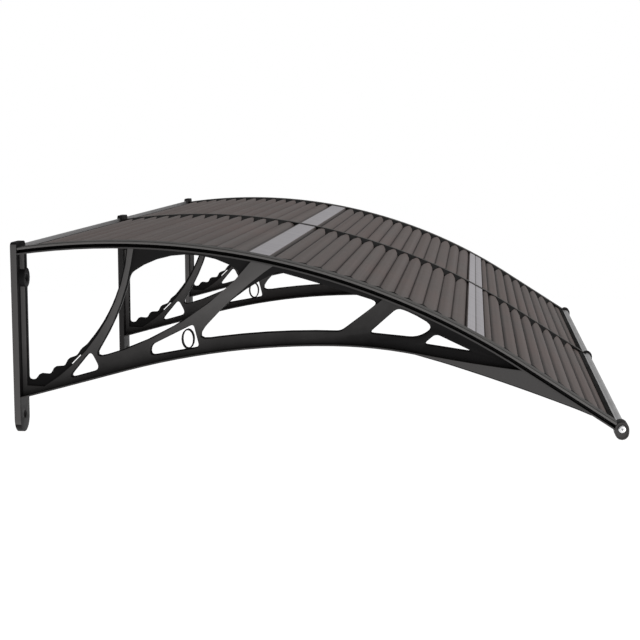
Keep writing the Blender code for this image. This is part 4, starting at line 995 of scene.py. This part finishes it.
# %% One plug, upright, its middle over the valley
PLUG_LENGTH = 0.060
PLUG_TOP = COVER_TOP - 0.0003
PLUG_HALF_WIDTH = 0.0098
PLUG_CUTS = (0.0004, 0.0014, 0.0022)
PLUG_NARROWS = ((VALLEY, 0.07), (PLUG_CUTS[0], 0.40), (PLUG_CUTS[1], 0.70))
PLUG_CORNER = 0.0006
FAR_END_SHARES = (1.0, 0.12, 0.32)
clean_slate()
bpy.ops.mesh.primitive_cube_add(size=1.0, location=(0.0, 0.0, (PLUG_TOP + VALLEY) / 2))
plug = bpy.context.object
plug.name = "valley_plug"
plug.scale = (PLUG_LENGTH, 2.0 * PLUG_HALF_WIDTH, PLUG_TOP - VALLEY)
settle(plug)
bpy.ops.object.mode_set(mode="EDIT")
for level in PLUG_CUTS:
    cut_across((0.0, 0.0, level), (0.0, 0.0, 1.0))
for level, share in PLUG_NARROWS:
    pick(plug, "verts", lambda vert, level=level: abs(vert.co.z - level) < 1e-5)
    bpy.ops.transform.resize(value=(1.0, share, 1.0))
pick(plug, "edges", lambda edge: lowest_of(edge) > PLUG_TOP - 1e-5)
bpy.ops.mesh.bevel(offset=PLUG_CORNER, segments=2, affect="EDGES")
pick(plug, "verts", lambda vert: vert.co.x > PLUG_LENGTH / 2 - 0.001)
bpy.ops.transform.resize(value=FAR_END_SHARES, center_override=(0.0, 0.0, VALLEY))
bpy.ops.object.mode_set(mode="OBJECT")
plug.data.materials.append(gasket_rubber)
bpy.ops.object.shade_smooth_by_angle(angle=math.radians(40.0))
print("one plug has", len(plug.data.polygons), "faces")

# %% [markdown]
# A row has one plug for each valley between two ribs. Each plug is turned to point away from its lip, leaned
# and moved to its valley, and the whole row is then joined to one object. There are four rows, because the
# middle strip has a lip on both sides.


# %% A row of plugs along each lip
def row_of_plugs(name, x, outward):
    """All plugs along one lip, joined to one object; outward is the way that their points look."""
    turned = Matrix.Rotation(0.0 if outward > 0.0 else math.pi, 4, "Z")
    plugs = []
    for along in valley_places:
        copy = shifted_copy(plug, name, 0.0)
        leaned = Matrix.Rotation(lean_at(x, along), 4, "X")
        copy.data.transform(Matrix.Translation(rail_place(x, along, 0.0)) @ leaned @ turned)
        plugs.append(copy)
    only(plugs[0])
    for other in plugs:
        other.select_set(True)
    bpy.ops.object.join()
    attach(plugs[0], "root")
    print(name, "joins", len(plugs), "plugs")


plug_reach = LIP_REACH + PLUG_LENGTH / 2
for side, outward in (("left", 1.0), ("middle_left", -1.0), ("middle_right", 1.0), ("right", -1.0)):
    x = BRACKET_PLACES[side.split("_")[0]] + outward * plug_reach
    row_of_plugs("valley_plugs_" + side, x, outward)
bpy.data.objects.remove(plug)

# %% [markdown]
# ## The front bar and its gasket
#
# The bar is a round nose with a flat tail that grips the front edge of a sheet. A cylinder is the nose. Its
# back facets are pulled out and cut off square for the tail, and the middle of the cut face is pushed back in
# as the slot. Two fine grooves along the nose come from single facets sunk a fraction of a millimetre.

# %% Shape the left front bar
NOSE_RADIUS = 0.0072
TAIL_BACK = 0.0105
TAIL_TOP, TAIL_BOTTOM = 0.0032, -0.0042
SLOT_TOP, SLOT_BOTTOM, SLOT_DEPTH = -0.0002, -0.0024, 0.0046
GROOVE_TURNS = (35.0, 68.0)
GROOVE_DEPTH = 0.0003
ONE_FACET_COSINE = math.cos(math.radians(3.4))
tip = rail_place(0.0, RAIL_LENGTH, 0.0)
onward = (tip_place(0.0, 0.01, 0.0) - tip).normalized()
upward = (tip_place(0.0, 0.0, 0.01) - tip).normalized()


def ahead_of_tip(point):
    """How far a point lies in front of the screw axis, along the rail line."""
    return (Vector((0.0, point.y, point.z)) - tip).dot(onward)


def above_tip(point):
    """How far a point lies above the screw axis, square to the rail line."""
    return (Vector((0.0, point.y, point.z)) - tip).dot(upward)


clean_slate()
bpy.ops.mesh.primitive_cylinder_add(vertices=56, radius=NOSE_RADIUS, depth=sheet_width, end_fill_type="NGON",
                                    location=(sheet_middle, tip.y, tip.z),
                                    rotation=(0.0, math.radians(90.0), 0.0))
bar_left = bpy.context.object
bar_left.name = "nose_bar_left"
settle(bar_left)
bpy.ops.object.mode_set(mode="EDIT")
tail_faces = pick(bar_left, "faces", lambda face: abs(face.normal.x) < 0.5 and face.normal.dot(onward) < 0.0
                  and TAIL_BOTTOM < above_tip(face.calc_center_median()) < TAIL_TOP)
pull(-onward * TAIL_BACK)
cut_across(tip - onward * TAIL_BACK, -onward, clear_outer=True, use_fill=True)
for level in (SLOT_BOTTOM, SLOT_TOP):
    cut_across(tip + upward * level, upward)
pick(bar_left, "faces", lambda face: face.normal.dot(onward) < -0.9
     and abs(ahead_of_tip(face.calc_center_median()) + TAIL_BACK) < 1e-4
     and SLOT_BOTTOM < above_tip(face.calc_center_median()) < SLOT_TOP)
pull(onward * SLOT_DEPTH)
for turn in GROOVE_TURNS:
    direction = upward * math.sin(math.radians(turn)) + onward * math.cos(math.radians(turn))
    pick(bar_left, "faces", lambda face: face.normal.dot(direction) > ONE_FACET_COSINE)
    pull(-direction * GROOVE_DEPTH)
turn_outwards()
bar_left.data.materials.append(bar_aluminium)
bpy.ops.object.shade_smooth_by_angle(angle=math.radians(25.0))
print("tail pulled from", tail_faces, "facets")
place_on(bar_left, "front_bar_left")
place_on(shifted_copy(bar_left, "nose_bar_right", BRACKET_SPACING), "front_bar_right")

# %% [markdown]
# The gasket closes the joint between the bar's tail and the sheet. It is a flat black rubber strip with a
# sloping rear side. A cube is squashed to the strip's section and turned to the slope of the rail; its top
# rear edge is pushed down for the slope, and all long edges get a soft round.

# %% Shape the front gaskets
GASKET_WIDTH, GASKET_TOP, GASKET_LOW = 0.0100, 0.0026, -0.0002
GASKET_CUTS = (0.33, 0.5)
REAR_EDGE_DROP = 0.0018
gasket_middle = tip_place(0.0, -TAIL_BACK - CONTACT_GAP - GASKET_WIDTH / 2, (GASKET_TOP + GASKET_LOW) / 2)
gasket_middle.x = sheet_middle
slope = math.atan2(-onward.z, -onward.y)
clean_slate()
bpy.ops.mesh.primitive_cube_add(size=1.0, location=gasket_middle, rotation=(slope, 0.0, 0.0))
gasket_left = bpy.context.object
gasket_left.name = "lip_gasket_left"
gasket_left.scale = (sheet_width, GASKET_WIDTH, GASKET_TOP - GASKET_LOW)
settle(gasket_left)
bpy.ops.object.mode_set(mode="EDIT")
for share in GASKET_CUTS:
    cut_across(tip_place(0.0, -TAIL_BACK - CONTACT_GAP - GASKET_WIDTH * share, 0.0), onward)
rear = -TAIL_BACK - CONTACT_GAP - GASKET_WIDTH
pick(gasket_left, "edges", lambda edge: abs(ahead_of_tip(middle_of(edge)) - rear) < 1e-4
     and above_tip(middle_of(edge)) > 0.002 and abs(edge.verts[0].co.x - edge.verts[1].co.x) > 0.1)
bpy.ops.transform.translate(value=-upward * REAR_EDGE_DROP)
turn_outwards()
finish_strip(gasket_left, gasket_rubber, 0.0004)
place_on(gasket_left, "front_gasket_left")
place_on(shifted_copy(gasket_left, "lip_gasket_right", BRACKET_SPACING), "front_gasket_right")

# %% [markdown]
# ## The rear bars
#
# A bar with an upright leg and a ledge closes the canopy against the wall, and a rubber strip fills the
# groove in front of the leg. Both are plain sections, so a copy of the CAD solid with rounded corners is all
# they need. The stud inside the middle tip is made the same way.

# %% Rear bars, rear gaskets and the joining stud
for side in ("left", "right"):
    wall_bar = rounded_copy("rear_bar_" + side, "wall_bar_" + side, bar_aluminium, 0.0003)
    place_on(wall_bar, "rear_bar_" + side)
    wall_gasket = rounded_copy("rear_gasket_" + side, "wall_gasket_" + side, gasket_rubber, 0.0004)
    place_on(wall_gasket, "rear_gasket_" + side)
place_on(rounded_copy("tip_joiner", "joining_stud", plated_steel, 0.0002), "tip_joiner")

# %% [markdown]
# ## The screws
#
# A cross-head screw shows at each end of the front bar, and small black ones hold the cover strips. Each
# starts as the cylinder of its head, standing upright. The domed head gets a rounded rim, the countersunk
# head is drawn in to its shank, the shank is pulled out of the underside, and two wedges cut the cross.


# %% A cross-head screw, standing upright with its head's top at zero
CROSS_TURN, CROSS_DEPTH, CROSS_TAPER = 20.0, 0.0014, 0.45
RECESS_FLOOR, RECESS_TOP = -0.002, -0.00001


def cut_cross(piece, reach, width, depth):
    """Cut two crossed tapered slots into the top."""
    for turn in (0.0, 90.0):
        clean_slate()
        bpy.ops.mesh.primitive_cube_add(size=1.0, rotation=(0.0, 0.0, math.radians(turn + CROSS_TURN)))
        wedge = bpy.context.object
        wedge.scale = (2.0 * reach, width, 2.0 * depth)
        settle(wedge)
        bpy.ops.object.mode_set(mode="EDIT")
        pick(wedge, "faces", lambda face: face.normal.z < -0.9)
        bpy.ops.transform.resize(value=(CROSS_TAPER, CROSS_TAPER, 1.0))
        bpy.ops.object.mode_set(mode="OBJECT")
        cut = piece.modifiers.new("cross", "BOOLEAN")
        cut.operation = "DIFFERENCE"
        cut.solver = "EXACT"
        cut.object = wedge
        apply_all(piece)
        bpy.data.objects.remove(wedge)


def cross_head_screw(name, head_radius, head_height, shank_radius, length, domed, material):
    """One screw, upright, its head's top at height zero."""
    clean_slate()
    bpy.ops.mesh.primitive_cylinder_add(vertices=40, radius=head_radius, depth=head_height,
                                        location=(0.0, 0.0, -head_height / 2))
    piece = bpy.context.object
    piece.name = name
    settle(piece)
    bpy.ops.object.mode_set(mode="EDIT")
    pick(piece, "faces", lambda face: face.normal.z < -0.9)
    ratio = shank_radius / head_radius
    if domed:
        bpy.ops.mesh.inset(thickness=head_radius - shank_radius)
    else:
        bpy.ops.transform.resize(value=(ratio, ratio, 1.0))
    straight = head_height + shank_radius - length
    pull((0.0, 0.0, straight))
    pull((0.0, 0.0, -shank_radius))
    bpy.ops.transform.resize(value=(0.5, 0.5, 1.0))
    pick(piece, "edges", lambda edge: lowest_of(edge) > -1e-6)
    if domed:
        bpy.ops.mesh.bevel(offset=0.62 * head_height, segments=5, affect="EDGES")
    else:
        bpy.ops.mesh.bevel(offset=0.12 * head_height, segments=2, affect="EDGES")
    turn_outwards()
    cut_cross(piece, 0.56 * head_radius, 0.2 * head_radius, CROSS_DEPTH)
    recess = []
    for polygon in piece.data.polygons:
        middle = polygon.center
        inside = math.hypot(middle.x, middle.y) < 0.6 * head_radius
        recess.append(1.0 if inside and RECESS_FLOOR < middle.z < RECESS_TOP else 0.0)
    write_values(piece.data, "hollow", "FACE", recess)
    piece.data.materials.clear()
    piece.data.materials.append(material)
    bpy.ops.object.shade_smooth_by_angle(angle=math.radians(34.0))
    return piece


# %% [markdown]
# The bright screws lie on their sides, one in each outer cap. Each goes through the spine and some 16 mm
# into the bar. The pattern that they are copied from is removed afterwards.

# %% The bright screw at each end of the front bar
HEAD_RADIUS, HEAD_HEIGHT, SHANK_RADIUS = 0.00625, 0.0032, 0.0024
CAP_HALF_WIDTH, CAP_RECESS = 0.025, 0.0012
SCREW_IN_BAR = 0.016
head_top = CAP_HALF_WIDTH - CAP_RECESS + CONTACT_GAP + HEAD_HEIGHT
screw_length = head_top + SPINE_HALF + SCREW_IN_BAR
pattern = cross_head_screw("tip_screw_pattern", HEAD_RADIUS, HEAD_HEIGHT, SHANK_RADIUS, screw_length,
                           domed=True, material=plated_steel)
for side, outward in (("left", -1.0), ("right", 1.0)):
    screw = shifted_copy(pattern, "bright_screw_" + side, 0.0)
    lay = Matrix.Rotation(math.radians(90.0 * outward), 4, "Y")
    place = Matrix.Translation((BRACKET_PLACES[side] + outward * head_top, tip.y, tip.z))
    screw.data.transform(place @ lay)
    place_on(screw, "tip_screw_" + side)
bpy.data.objects.remove(pattern)

# %% [markdown]
# The black screws stand upright on the rail line and lean with it. Their heads lie just below the top of the
# strip.

# %% The black screws along each cover strip
COVER_SCREW_COUNT = 4
COVER_SCREW_END_DISTANCE = 0.050
SMALL_HEAD_RADIUS, SMALL_HEAD_HEIGHT, SMALL_SHANK_RADIUS, SMALL_LENGTH = 0.0037, 0.0024, 0.0018, 0.0102
pattern = cross_head_screw("strip_screw_pattern", SMALL_HEAD_RADIUS, SMALL_HEAD_HEIGHT, SMALL_SHANK_RADIUS,
                           SMALL_LENGTH, domed=False, material=black_steel)
run = RAIL_LENGTH - 2 * COVER_SCREW_END_DISTANCE
for side, x in BRACKET_PLACES.items():
    for number in range(COVER_SCREW_COUNT):
        along = COVER_SCREW_END_DISTANCE + run * number / (COVER_SCREW_COUNT - 1)
        place = rail_place(x, along, COVER_TOP - CONTACT_GAP)
        screw = shifted_copy(pattern, "strip_screw_" + side + "_" + str(number + 1), 0.0)
        screw.data.transform(Matrix.Translation(place) @ Matrix.Rotation(lean_at(x, along), 4, "X"))
        place_on(screw, "cover_screw_" + side + "_" + str(number + 1))
bpy.data.objects.remove(pattern)
